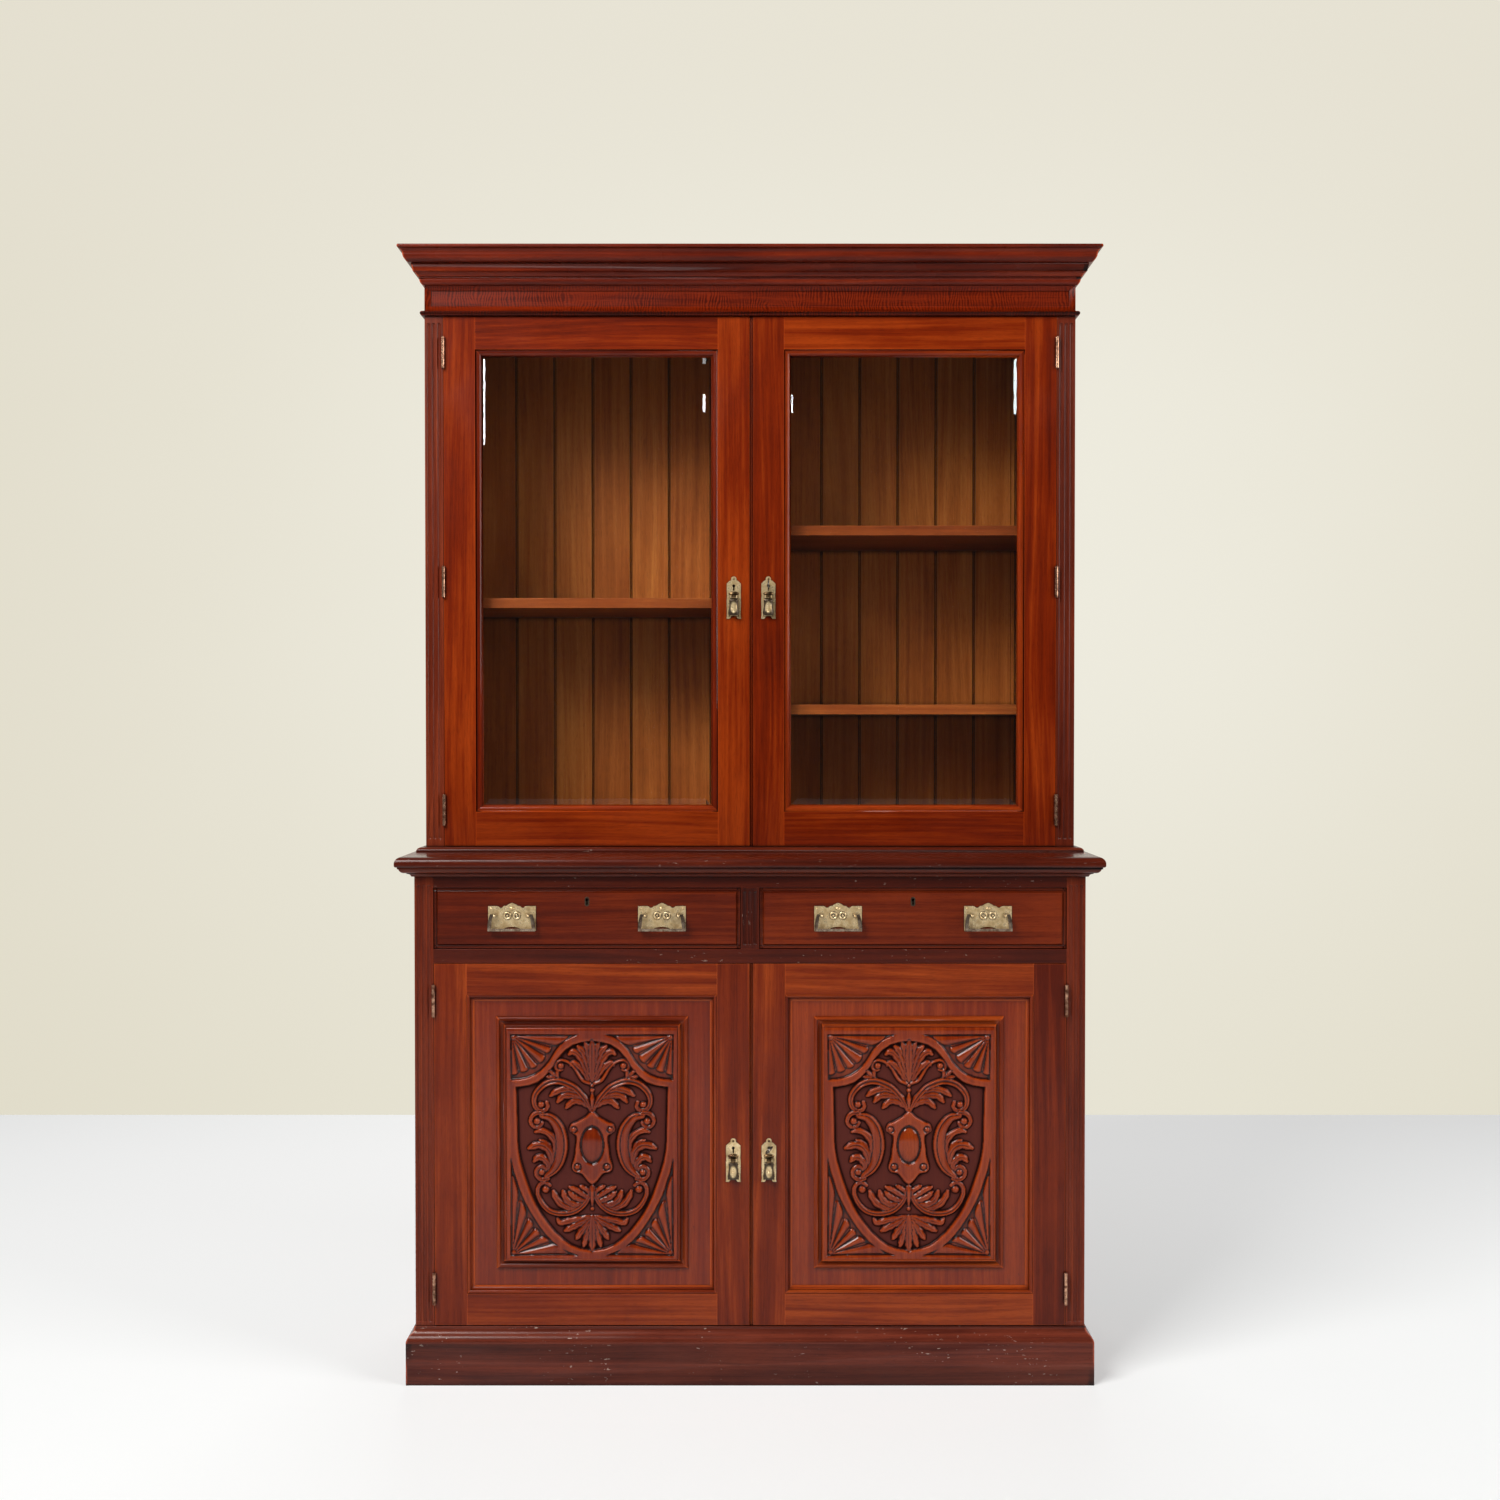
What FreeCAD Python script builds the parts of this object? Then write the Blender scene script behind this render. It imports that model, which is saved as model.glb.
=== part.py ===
import FreeCAD, Part
import math
import os
import Sketcher
from FreeCAD import Placement, Rotation, Vector

# A two-part bookcase in mahogany: a cupboard base with two drawers and two carved doors, and above it a
# shallower bookcase with two glazed doors. +Z is up, the front faces -Y, and the origin lies on the floor at
# the centre of the overall box. All sizes are millimetres.

SIZES = {
    # overall
    "carcase_width": 1321,
    "base_depth": 455,
    "upper_depth": 340,
    "base_height": 1041,
    "total_height": 2262,
    # boards
    "side_thick": 22,
    "face_thick": 22,
    "shelf_thick": 20,
    "partition_thick": 20,
    "back_thick": 12,
    "back_rebate": 10,
    "back_inset": 2,
    "matchboard_pitch": 85.2,
    "matchboard_first": 38.3,
    "matchboard_bead": 3,
    "matchboard_quirk": 1.4,
    "tongue_long": 5,
    "tongue_thick": 4,
    "joint_gap": 0.2,
    # face frame
    "pilaster_width": 37,
    "flute_pitch": 10.6,
    "flute_radius": 4.4,
    "flute_setout": 2.2,
    "flute_margin": 13,
    "top_rail_high": 42,
    "middle_rail_high": 28,
    "drawer_opening_high": 121,
    "divider_width": 36,
    # plinth and mouldings
    "plinth_high": 112,
    "plinth_reach": 16.5,
    "plinth_inset": 5.5,
    "plinth_moulding_high": 30,
    "top_thick": 20,
    "top_reach": 33,
    "top_edge_radius": 12.4,
    "top_lower_radius": 4,
    "top_moulding_high": 20,
    "top_moulding_reach": 28,
    "foot_high": 10.5,
    "foot_reach": 17,
    "bead_high": 9.5,
    "bead_reach": 8,
    "frieze_high": 52,
    "frieze_bevel": 12,
    "frieze_sink": 5,
    "frieze_step": 1.5,
    "cornice_high": 72,
    "cornice_reach": 45,
    "cornice_back": 22,
    # doors
    "door_gap": 1,
    "door_foot_gap": 1.5,
    "meeting_half_gap": 1,
    "door_stop_gap": 0.8,
    "stile_width": 64,
    "upper_top_rail": 66,
    "upper_bottom_rail": 69,
    "lower_top_rail": 61,
    "lower_bottom_rail": 62,
    "tenon_long": 30,
    "tenon_thick": 8,
    "tenon_shoulder": 10,
    "bead_width": 4.3,
    "quirk_width": 1.4,
    "quirk_deep": 1.6,
    "sight_width": 14,
    "sight_inset": 2,
    "sight_deep": 10,
    "glass_thick": 4,
    "glass_gap": 1,
    "glass_bevel_wide": 25,
    "glass_bevel_deep": 1.4,
    "glazing_bead_width": 8,
    # carved panels
    "panel_moulding_width": 15,
    "panel_field_sink": 10,
    "panel_field_thick": 8,
    "panel_groove": 8,
    "field_sides": 42,
    "field_top": 29,
    "field_foot": 33,
    "raised_moulding_width": 21,
    "raised_sink": 1,
    "carving_width": 324,
    "carving_high": 442,
    "carving_drop": 4,
    "carving_deep": 6,
    "boss_width": 42,
    "boss_high": 68,
    # shelves
    "upper_shelf_deep": 288,
    "shelf_end_gap": 1,
    "left_shelf_up": 519,
    "right_high_shelf_up": 668,
    "right_low_shelf_up": 300,
    "peg_radius": 3,
    "peg_out": 12,
    "peg_into": 7,
    "peg_inset": 45,
    "cupboard_shelf_up": 358,
    "cupboard_shelf_deep": 330,
    "bearer_high": 25,
    "bearer_thick": 18,
    # drawers
    "drawer_gap": 1.2,
    "drawer_long": 385,
    "drawer_side_thick": 12,
    "drawer_bottom_thick": 7,
    "drawer_bottom_up": 12,
    "drawer_groove": 6,
    "drawer_side_drop": 8,
    "drawer_edge": 9,
    "drawer_edge_deep": 5,
    "runner_high": 12,
    "runner_wide": 30,
    "kicker_high": 18,
    # hinges
    "hinge_high": 63,
    "hinge_inset": 73,
    "knuckle_radius": 3.4,
    "knuckle_clear": 0.6,
    "hinge_pin_radius": 1.6,
    "hinge_pin_play": 0.05,
    "knuckle_play": 0.3,
    "leaf_thick": 1.4,
    "leaf_wide": 19,
    # drawer pulls
    "pull_offset": 147.5,
    "pull_plate_wide": 93.5,
    "pull_plate_high": 48.5,
    "pull_crest": 6.3,
    "plate_thick": 1.5,
    "pull_post_half": 32.6,
    "pull_post_up": 6.2,
    "post_radius": 3.6,
    "post_out": 12,
    "pivot_out": 9,
    "bail_pin_radius": 1.5,
    "bail_pin_play": 0.05,
    "bail_thick": 3,
    "bail_drop": 30.4,
    "bail_half_bottom": 46.5,
    "bail_bar_high": 5,
    "bail_arm_wide": 5,
    "bail_gap": 0.4,
    "drawer_keyhole_up": 33,
    "ring_wall": 1.6,
    "ring_proud": 0.4,
    "ring_into": 3,
    # door plates and drops
    "door_plate_wide": 29.5,
    "door_plate_high": 86,
    "upper_plate_up": 517,
    "lower_plate_up": 329,
    "keyhole_up": 24,
    "keyhole_radius": 3,
    "keyhole_slot_wide": 3,
    "keyhole_slot_long": 10,
    "drop_pin_up": 1,
    "drop_pin_out": 7,
    "drop_pin_radius": 1.3,
    "drop_pin_play": 0.05,
    "drop_long": 36,
    "drop_half_top": 4.5,
    "drop_half_bottom": 10.3,
    "drop_thick": 4,
    "drop_eye_radius": 3.2,
    "ear_thick": 2.5,
    "ear_gap": 0.4,
    # locks and keys
    "lock_land": 6,
    "lock_high": 40,
    "lock_back_gap": 1,
    "lock_thick": 12,
    "lock_wall": 1.2,
    "lock_fit": 0.2,
    "bolt_high": 12,
    "bolt_thick": 3.5,
    "bolt_long": 36,
    "bolt_travel": 6,
    "bolt_play": 0.3,
    "key_radius": 2,
    "key_bow_half": 8.5,
    "key_bow_wire": 1.5,
    "key_out": 17,
    "key_bit_long": 8,
    "key_bit_deep": 3.5,
    "key_bit_thick": 2,
    "lower_key_turn": 45,
}

doc = FreeCAD.newDocument("bookcase")
sheet = doc.addObject("Spreadsheet::Sheet", "Sizes")


class Size:
    """A length together with the sheet expression that gives it."""

    def __init__(self, value, text):
        self.value = value
        self.text = text

    def __add__(self, other):
        other = as_size(other)
        return Size(self.value + other.value, f"({self.text} + {other.text})")

    def __radd__(self, other):
        return as_size(other) + self

    def __sub__(self, other):
        other = as_size(other)
        return Size(self.value - other.value, f"({self.text} - {other.text})")

    def __rsub__(self, other):
        return as_size(other) - self

    def __mul__(self, other):
        other = as_size(other)
        return Size(self.value * other.value, f"({self.text} * {other.text})")

    def __rmul__(self, other):
        return as_size(other) * self

    def __truediv__(self, other):
        other = as_size(other)
        return Size(self.value / other.value, f"({self.text} / {other.text})")

    def __neg__(self):
        return as_size(0) - self


def as_size(number):
    if isinstance(number, Size):
        return number
    return Size(float(number), f"({float(number)})")


def root(size):
    return Size(math.sqrt(size.value), f"sqrt({size.text})")


class Sheet:
    """The sheet's sizes by name."""


S = Sheet()
for row, (alias, number) in enumerate(SIZES.items(), start=1):
    sheet.set(f"A{row}", alias)
    sheet.set(f"B{row}", str(number))
    sheet.setAlias(f"B{row}", alias)
    setattr(S, alias, Size(float(number), f"Sizes.{alias}"))
doc.recompute()

nodes = []


# ---------------------------------------------------------------- helpers


def bind(thing, prop, size):
    thing.setExpression(prop, as_size(size).text)


def place(thing, at, axis=(0, 0, 1), turn=0):
    """Turns a piece about an axis through its own origin and moves that origin to a point."""
    thing.Placement = Placement(Vector(0, 0, 0), Rotation(Vector(*axis), turn))
    for letter, size in zip("xyz", at):
        bind(thing, f"Placement.Base.{letter}", size)


def node(label, *pieces):
    """Names a sub-part: one piece as it is, or several separate solids as a group."""
    piece = pieces[0]
    if len(pieces) > 1:
        piece = doc.addObject("Part::Compound", label)
        piece.Links = list(pieces)
    piece.Label = label
    nodes.append(piece)
    return piece


def board(name, x, y, z):
    """A block from a lowest to a highest corner, each pair being one axis."""
    block = doc.addObject("Part::Box", name)
    for prop, span in zip(("Length", "Width", "Height"), (x, y, z)):
        bind(block, prop, as_size(span[1]) - span[0])
    place(block, (x[0], y[0], z[0]))
    return block


def tapered(name, y, front_x, front_z, back_x, back_z):
    """A block whose front and back faces are rectangles of different sizes."""
    block = doc.addObject("Part::Wedge", name)
    spans = {"Y": y, "X": front_x, "Z": front_z, "X2": back_x, "Z2": back_z}
    for prop, span in spans.items():
        bind(block, prop + "min", span[0])
        bind(block, prop + "max", span[1])
    return block


AXIS_TURNS = {"x": ((0, 1, 0), 90), "y": ((1, 0, 0), -90), "z": ((0, 0, 1), 0)}


def rod(name, at, axis, radius, length):
    """A round bar that starts at a point and runs along +X, +Y or +Z."""
    bar = doc.addObject("Part::Cylinder", name)
    bind(bar, "Radius", radius)
    bind(bar, "Height", length)
    place(bar, at, *AXIS_TURNS[axis])
    return bar


def fused(name, pieces):
    whole = doc.addObject("Part::MultiFuse", name)
    whole.Shapes = list(pieces)
    return whole


def cut(name, base, tools):
    """What is left of the base when every tool is taken out of it."""
    tools = list(tools)
    if not tools:
        return base
    result = doc.addObject("Part::Cut", name)
    result.Base = base
    result.Tool = tools[0] if len(tools) == 1 else fused(name + "_tools", tools)
    return result


def new_body(name):
    return doc.addObject("PartDesign::Body", name)


def new_sketch(body, role, offset=(0, 0, 0)):
    plane = next(feature for feature in body.Origin.OriginFeatures if feature.Role == role)
    sketch = body.newObject("Sketcher::SketchObject", body.Name + "_sketch")
    sketch.AttachmentSupport = [(plane, "")]
    sketch.MapMode = "FlatFace"
    for letter, size in zip("xyz", offset):
        bind(sketch, f"AttachmentOffset.Base.{letter}", size)
    return sketch


def edge_between(start, end, bulge):
    """A line, or the arc whose bulge is its rise over half its chord: positive turns left."""
    here = Vector(start[0].value, start[1].value, 0)
    there = Vector(end[0].value, end[1].value, 0)
    if not bulge:
        return Part.LineSegment(here, there), (1, 2)
    chord = there - here
    left = Vector(-chord.y, chord.x, 0)
    centre = (here + there) * 0.5 + left * ((1 - bulge * bulge) / (4 * bulge))
    radius = (here - centre).Length
    first, last = (here, there) if bulge > 0 else (there, here)
    low = math.atan2(first.y - centre.y, first.x - centre.x)
    high = math.atan2(last.y - centre.y, last.x - centre.x)
    if high < low:
        high += 2 * math.pi
    circle = Part.Circle(centre, Vector(0, 0, 1), radius)
    return Part.ArcOfCircle(circle, low, high), (1, 2) if bulge > 0 else (2, 1)


def outline(sketch, corners):
    """Draws a closed outline whose corners are (u, v) or (u, v, bulge of the edge that follows)."""
    points = [(as_size(corner[0]), as_size(corner[1])) for corner in corners]
    bulges = [corner[2] if len(corner) > 2 else 0 for corner in corners]
    edges = []
    for index, start in enumerate(points):
        end = points[(index + 1) % len(points)]
        curve, ends = edge_between(start, end, bulges[index])
        edges.append((sketch.addGeometry(curve, False), ends))
        if bulges[index]:
            across = end[0] - start[0]
            up = end[1] - start[1]
            share = (1 + bulges[index] ** 2) / (4 * abs(bulges[index]))
            radius = root(across * across + up * up) * share
            mark = sketch.addConstraint(Sketcher.Constraint("Radius", edges[-1][0], radius.value))
            bind(sketch, f"Constraints[{mark}]", radius)
    for index, (edge, ends) in enumerate(edges):
        after, after_ends = edges[(index + 1) % len(edges)]
        sketch.addConstraint(Sketcher.Constraint("Coincident", edge, ends[1], after, after_ends[0]))
        for kind, size in zip(("DistanceX", "DistanceY"), points[index]):
            mark = sketch.addConstraint(Sketcher.Constraint(kind, -1, 1, edge, ends[0], size.value))
            bind(sketch, f"Constraints[{mark}]", size)


def pad(body, sketch, length):
    feature = body.newObject("PartDesign::Pad", body.Name + "_pad")
    feature.Profile = sketch
    bind(feature, "Length", length)
    return feature


def pocket_through(body, sketch):
    feature = body.newObject("PartDesign::Pocket", body.Name + "_pocket")
    feature.Profile = sketch
    feature.Type = "ThroughAll"
    feature.Type2 = "ThroughAll"
    feature.SideType = "Two sides"
    return feature


def extruded(name, role, corners, length, at, turn_axis=(0, 0, 1), turn=0, offset=(0, 0, 0)):
    """A solid of one section. XY sketches run up +Z, XZ sketches run to -Y and YZ sketches to +X."""
    body = new_body(name)
    sketch = new_sketch(body, role, offset)
    outline(sketch, corners)
    pad(body, sketch, length)
    place(body, at, turn_axis, turn)
    return body


def scaled(shape, across, up):
    """An outline given in shares of a width and a height."""
    return [(across * point[0], up * point[1], *point[2:]) for point in shape]


CUT_PAST = 1  # how far a cutting sketch runs past the solid
QUARTER = math.tan(math.pi / 8)  # the bulge of a quarter circle


def wrap_strip(name, section, length, reach, inside, at, turn, mitre_start, mitre_end):
    """A moulding that runs along its own X and sticks out towards its own -Y.

    The section's corners are (outward, up). A mitred end follows the corner's diagonal: the strip is longer
    by its reach outside the corner and shorter inside it.
    """
    body = new_body(name)
    start = -reach if mitre_start else as_size(0)
    end = length + reach if mitre_end else length
    sketch = new_sketch(body, "YZ_Plane", (0, 0, start))
    outline(sketch, [(-as_size(out), up, *[-bulge for bulge in more]) for out, up, *more in section])
    pad(body, sketch, end - start)
    plan = new_sketch(body, "XY_Plane")
    out = reach + CUT_PAST
    behind = inside + CUT_PAST
    if mitre_start:
        outline(plan, [(-out, -out), (behind, behind), (-out, behind)])
    if mitre_end:
        outline(plan, [(length + out, -out), (length + out, behind), (length - behind, behind)])
    pocket_through(body, plan)
    place(body, at, turn=turn)
    return body


def wrap_round(label, section, side_section, reach, inside, front, back, height):
    """Three mitred strips: along the front of the carcase and back along both sides."""
    half = S.carcase_width / 2
    depth = back - front
    front_strip = wrap_strip(label + "_front", section, S.carcase_width, reach, inside,
                             (-half, front, height), 0, True, True)
    right_strip = wrap_strip(label + "_right", side_section, depth, reach, inside,
                             (half, front, height), 90, True, False)
    left_strip = wrap_strip(label + "_left", side_section, depth, reach, inside,
                            (-half, back, height), -90, False, True)
    return [front_strip, right_strip, left_strip]


def frame_strip(name, section, length, width, at, turn):
    """One side of a mitred frame: it runs along its own X, and its section's corners are (back, inward)."""
    body = new_body(name)
    sketch = new_sketch(body, "YZ_Plane")
    outline(sketch, section)
    pad(body, sketch, length)
    face = new_sketch(body, "XZ_Plane")
    past = width + CUT_PAST
    outline(face, [(-CUT_PAST, -CUT_PAST), (past, past), (-CUT_PAST, past)])
    outline(face, [(length + CUT_PAST, -CUT_PAST), (length + CUT_PAST, past), (length - past, past)])
    pocket_through(body, face)
    place(body, at, (0, 1, 0), turn)
    return body


def mitred_frame(name, section, width, x, y, z):
    """Four mitred strips round an upright rectangle; the section starts at the outer edge, at depth y."""
    across = x[1] - x[0]
    up = z[1] - z[0]
    sides = [("bottom", across, (x[0], y, z[0]), 0), ("right", up, (x[1], y, z[0]), -90),
             ("top", across, (x[1], y, z[1]), 180), ("left", up, (x[0], y, z[1]), 90)]
    return [frame_strip(f"{name}_{side}", section, length, width, at, turn)
            for side, length, at, turn in sides]


# ---------------------------------------------------------------- main planes

half_width = S.carcase_width / 2
inner_half = half_width - S.side_thick
opening_half = half_width - S.pilaster_width
back_y = (S.base_depth + S.top_reach) / 2
base_front = back_y - S.base_depth
upper_front = back_y - S.upper_depth
back_boards_front = back_y - S.back_inset - S.back_thick
base_carcase_top = S.base_height - S.top_thick
drawer_top = base_carcase_top - S.top_rail_high
drawer_floor = drawer_top - S.drawer_opening_high
cupboard_top = drawer_floor - S.middle_rail_high
upper_door_low = S.base_height + S.foot_high + S.door_foot_gap
upper_plate_z = S.base_height + S.upper_plate_up
lower_plate_z = S.plinth_high + S.lower_plate_up
cornice_low = S.total_height - S.cornice_high
frieze_low = cornice_low - S.frieze_high
bead_low = frieze_low - S.bead_high
base_inside_front = base_front + S.face_thick
upper_inside_front = upper_front + S.face_thick
SIDES = (("left", -1), ("right", 1))


def mirrored(side, low, high):
    """A span beside the centre plane: as given on the right, mirrored on the left."""
    if side > 0:
        return (low, high)
    return (-high, -low)


# ---------------------------------------------------------------- hinges


def knuckle_spans():
    """The five knuckles of a hinge from its foot up, with the running gap between neighbours."""
    each = (S.hinge_high - S.knuckle_play * 4) / 5
    return [(each * index + S.knuckle_play * index, each * (index + 1) + S.knuckle_play * index)
            for index in range(5)]


def hinge_axis(side, front):
    return ((opening_half - S.door_gap / 2) * side, front - S.knuckle_radius - S.knuckle_clear)


def leaf_with_knuckles(name, side, front, foot, outer, owned):
    """A leaf let into an edge, with its own knuckles; outer is the pilaster's leaf, inner the door's."""
    axis_x, axis_y = hinge_axis(side, front)
    near = opening_half if outer else opening_half - S.door_gap - S.leaf_thick
    leaf_x = mirrored(side, near, near + S.leaf_thick)
    pieces = [board(name + "_leaf", leaf_x, (front, front + S.leaf_wide), (foot, foot + S.hinge_high))]
    for index in owned:
        low, high = knuckle_spans()[index]
        span = (foot + low, foot + high)
        pieces.append(board(f"{name}_tab{index}", leaf_x, (axis_y, front), span))
        pieces.append(rod(f"{name}_knuckle{index}", (axis_x, axis_y, span[0]), "z", S.knuckle_radius,
                          span[1] - span[0]))
    whole = fused(name + "_solid", pieces)
    if outer:
        pin = rod(name + "_pin", (axis_x, axis_y, foot), "z", S.hinge_pin_radius, S.hinge_high)
        return fused(name, [whole, pin])
    bore_radius = S.hinge_pin_radius + S.hinge_pin_play
    bore = rod(name + "_bore", (axis_x, axis_y, foot), "z", bore_radius, S.hinge_high)
    return cut(name, whole, [bore])


def leaf_recess(name, side, front, foot, outer):
    """The shallow seat that a leaf fills in the edge of a pilaster or stile."""
    near = opening_half if outer else opening_half - S.door_gap - S.leaf_thick
    return board(name, mirrored(side, near, near + S.leaf_thick), (front, front + S.leaf_wide),
                 (foot, foot + S.hinge_high))


lower_door_low = S.plinth_high + S.door_foot_gap
lower_door_high = cupboard_top - S.door_gap
upper_door_high = bead_low - S.door_gap
half_hinge = S.hinge_high / 2
LOWER_HINGES = [lower_door_low + S.hinge_inset - half_hinge, lower_door_high - S.hinge_inset - half_hinge]
upper_door_middle = (upper_door_low + upper_door_high) / 2
UPPER_HINGES = [upper_door_low + S.hinge_inset - half_hinge, upper_door_middle - half_hinge,
                upper_door_high - S.hinge_inset - half_hinge]
CARCASE_KNUCKLES = (0, 2, 4)
DOOR_KNUCKLES = (1, 3)


def make_jamb_leaves():
    leaves = []
    for word, side in SIDES:
        for level, front, feet in (("lower", base_front, LOWER_HINGES), ("upper", upper_front, UPPER_HINGES)):
            for index, foot in enumerate(feet):
                leaves.append(leaf_with_knuckles(f"{level}_jamb_{word}{index}", side, front, foot, True,
                                                 CARCASE_KNUCKLES))
    node("hinge_jamb_leaves", *leaves)


# ---------------------------------------------------------------- base carcase


def make_plinth():
    """Plinth boards whose top edge is an ogee falling from near the carcase to the full reach."""
    bend = S.plinth_high - S.plinth_moulding_high
    middle = S.plinth_high - S.plinth_moulding_high / 2
    ogee = [(S.plinth_reach, 0), (S.plinth_reach, bend, 0.25), (S.plinth_reach * 0.55, middle, -0.25),
            (S.plinth_reach * 0.15, S.plinth_high - 2), (S.plinth_reach * 0.15, S.plinth_high)]
    front_section = [(-S.plinth_inset, 0)] + ogee + [(-S.plinth_inset, S.plinth_high)]
    side_section = [(0, 0)] + ogee + [(0, S.plinth_high)]
    strips = wrap_round("plinth", front_section, side_section, S.plinth_reach, S.plinth_inset,
                        base_front, back_y, as_size(0))
    node("plinth_boards", *strips)


def side_board(name, side, front, low, high, holes=()):
    """A carcase side, rebated along its back edge for the back boards."""
    x = mirrored(side, inner_half, half_width)
    rebate_x = mirrored(side, inner_half - CUT_PAST, inner_half + S.back_rebate)
    whole = board(name + "_board", x, (front, back_y), (low, high))
    rebate = board(name + "_rebate", rebate_x, (back_boards_front, back_y + CUT_PAST),
                   (low - CUT_PAST, high + CUT_PAST))
    return cut(name, whole, [rebate, *holes])


def make_matchboards(label, low, high):
    """Tongued and grooved boards, each with a bead beside its joint, across the back of a carcase."""
    right_end = inner_half + S.back_rebate
    joints = [-right_end, -right_end + S.matchboard_first]
    while (joints[-1] + S.matchboard_pitch).value < right_end.value:
        joints.append(joints[-1] + S.matchboard_pitch)
    joints.append(right_end)
    middle = S.back_thick / 2
    tongue = S.tongue_thick / 2
    groove = tongue + S.joint_gap
    bead = S.matchboard_bead
    quirk = S.matchboard_quirk
    boards = []
    for index in range(len(joints) - 1):
        wide = joints[index + 1] - joints[index] - S.joint_gap
        first = index == 0
        last = index == len(joints) - 2
        corners = [(wide, 0), (wide, middle - tongue)]
        if not last:
            corners += [(wide + S.tongue_long, middle - tongue), (wide + S.tongue_long, middle + tongue)]
        corners += [(wide, middle + tongue), (wide, S.back_thick), (0, S.back_thick)]
        if not first:
            deep = S.tongue_long + S.joint_gap * 2
            corners += [(0, middle + groove), (deep, middle + groove), (deep, middle - groove),
                        (0, middle - groove), (0, bead, -QUARTER), (bead, 0, -QUARTER), (bead * 2, bead),
                        (bead * 2 + quirk, bead), (bead * 2 + quirk, 0)]
        else:
            corners += [(0, 0)]
        boards.append(extruded(f"{label}_{index}", "XY_Plane", corners, high - low,
                               (joints[index], back_boards_front, low)))
    node(label, *boards)


def fluted_post(name, centre_x, front, low, high, width, flute_low, flute_high):
    """An upright with three stopped, round-bottomed flutes in its face."""
    body = new_body(name)
    plan = new_sketch(body, "XY_Plane")
    outline(plan, [(-width / 2, 0), (width / 2, 0), (width / 2, S.face_thick), (-width / 2, S.face_thick)])
    pad(body, plan, high - low)
    half_flute = new_sketch(body, "YZ_Plane", (-S.flute_setout, 0, -S.flute_pitch))
    foot = flute_low - low
    head = flute_high - low
    radius = S.flute_radius
    outline(half_flute, [(0, foot, QUARTER), (radius, foot + radius), (radius, head - radius, QUARTER),
                         (0, head)])
    flute = body.newObject("PartDesign::Groove", name + "_flute")
    flute.Profile = half_flute
    flute.ReferenceAxis = (half_flute, ["V_Axis"])
    flute.Angle = 360
    doc.recompute()
    row = body.newObject("PartDesign::LinearPattern", name + "_flutes")
    row.Originals = [flute]
    row.Direction = (plan, ["H_Axis"])
    bind(row, "Length", S.flute_pitch * 2)
    row.Occurrences = 3
    body.Tip = row
    place(body, (centre_x, front, low))
    return body


def make_pilasters(label, front, low, high, flute_low, flute_high, hinge_feet):
    posts = []
    for word, side in SIDES:
        centre = (opening_half + S.pilaster_width / 2) * side
        post = fluted_post(f"{label}_{word}_post", centre, front, low, high, S.pilaster_width, flute_low,
                           flute_high)
        seats = [leaf_recess(f"{label}_{word}_seat{index}", side, front, foot, True)
                 for index, foot in enumerate(hinge_feet)]
        posts.append(cut(f"{label}_{word}", post, seats))
    node(label, *posts)


def make_base_carcase():
    node("base_sides", *[side_board(f"base_side_{word}", side, base_inside_front, 0, base_carcase_top)
                         for word, side in SIDES])
    node("base_bottom_board", board("base_bottom", (-inner_half, inner_half),
                                    (base_front + S.plinth_inset, back_boards_front),
                                    (S.plinth_high - S.shelf_thick, S.plinth_high)))
    make_matchboards("base_back_boards", S.plinth_high - S.shelf_thick, base_carcase_top)
    make_pilasters("base_pilasters", base_front, S.plinth_high, base_carcase_top,
                   S.plinth_high + S.flute_margin / 2, drawer_top + S.flute_margin / 2, LOWER_HINGES)
    face = (base_front, base_inside_front)
    across = (-opening_half, opening_half)
    node("base_face_rails", board("top_rail", across, face, (drawer_top, base_carcase_top)),
         board("middle_rail", across, face, (cupboard_top, drawer_floor)))
    post = fluted_post("divider_post", as_size(0), base_front, drawer_floor, drawer_top, S.divider_width,
                       drawer_floor + S.flute_margin / 2, drawer_top - S.flute_margin / 2)
    wall = board("divider_wall", (-S.divider_width / 2, S.divider_width / 2),
                 (base_inside_front, back_boards_front), (drawer_floor, base_carcase_top))
    node("drawer_divider", post, wall)


def make_drawer_runners():
    """Runners under the drawers, guides behind the pilasters, and kickers over the drawers."""
    pieces = []
    length = (base_inside_front, back_boards_front)
    runner_z = (drawer_floor - S.runner_high, drawer_floor)
    kicker_z = (drawer_top, drawer_top + S.kicker_high)
    for word, side in SIDES:
        for spot, low_x, high_x in (("inner", as_size(0), S.divider_width / 2 + S.runner_wide),
                                    ("outer", opening_half - S.runner_wide, inner_half)):
            x = mirrored(side, low_x, high_x)
            pieces.append(board(f"runner_{word}_{spot}", x, length, runner_z))
            kick_x = mirrored(side, S.divider_width / 2, high_x) if spot == "inner" else x
            pieces.append(board(f"kicker_{word}_{spot}", kick_x, length, kicker_z))
        pieces.append(board(f"guide_{word}", mirrored(side, opening_half, inner_half), length,
                            (drawer_floor, drawer_top)))
    node("drawer_runners", *pieces)


def make_base_shelf():
    front = back_boards_front - S.cupboard_shelf_deep
    high = S.plinth_high + S.cupboard_shelf_up
    low = high - S.shelf_thick
    shelf = board("cupboard_shelf", (-inner_half + S.shelf_end_gap, inner_half - S.shelf_end_gap),
                  (front, back_boards_front - S.shelf_end_gap), (low, high))
    bearers = [board(f"shelf_bearer_{word}", mirrored(side, inner_half - S.bearer_thick, inner_half),
                     (front + S.bearer_thick, back_boards_front - S.bearer_thick), (low - S.bearer_high, low))
               for word, side in SIDES]
    node("base_shelf", shelf, *bearers)


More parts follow.
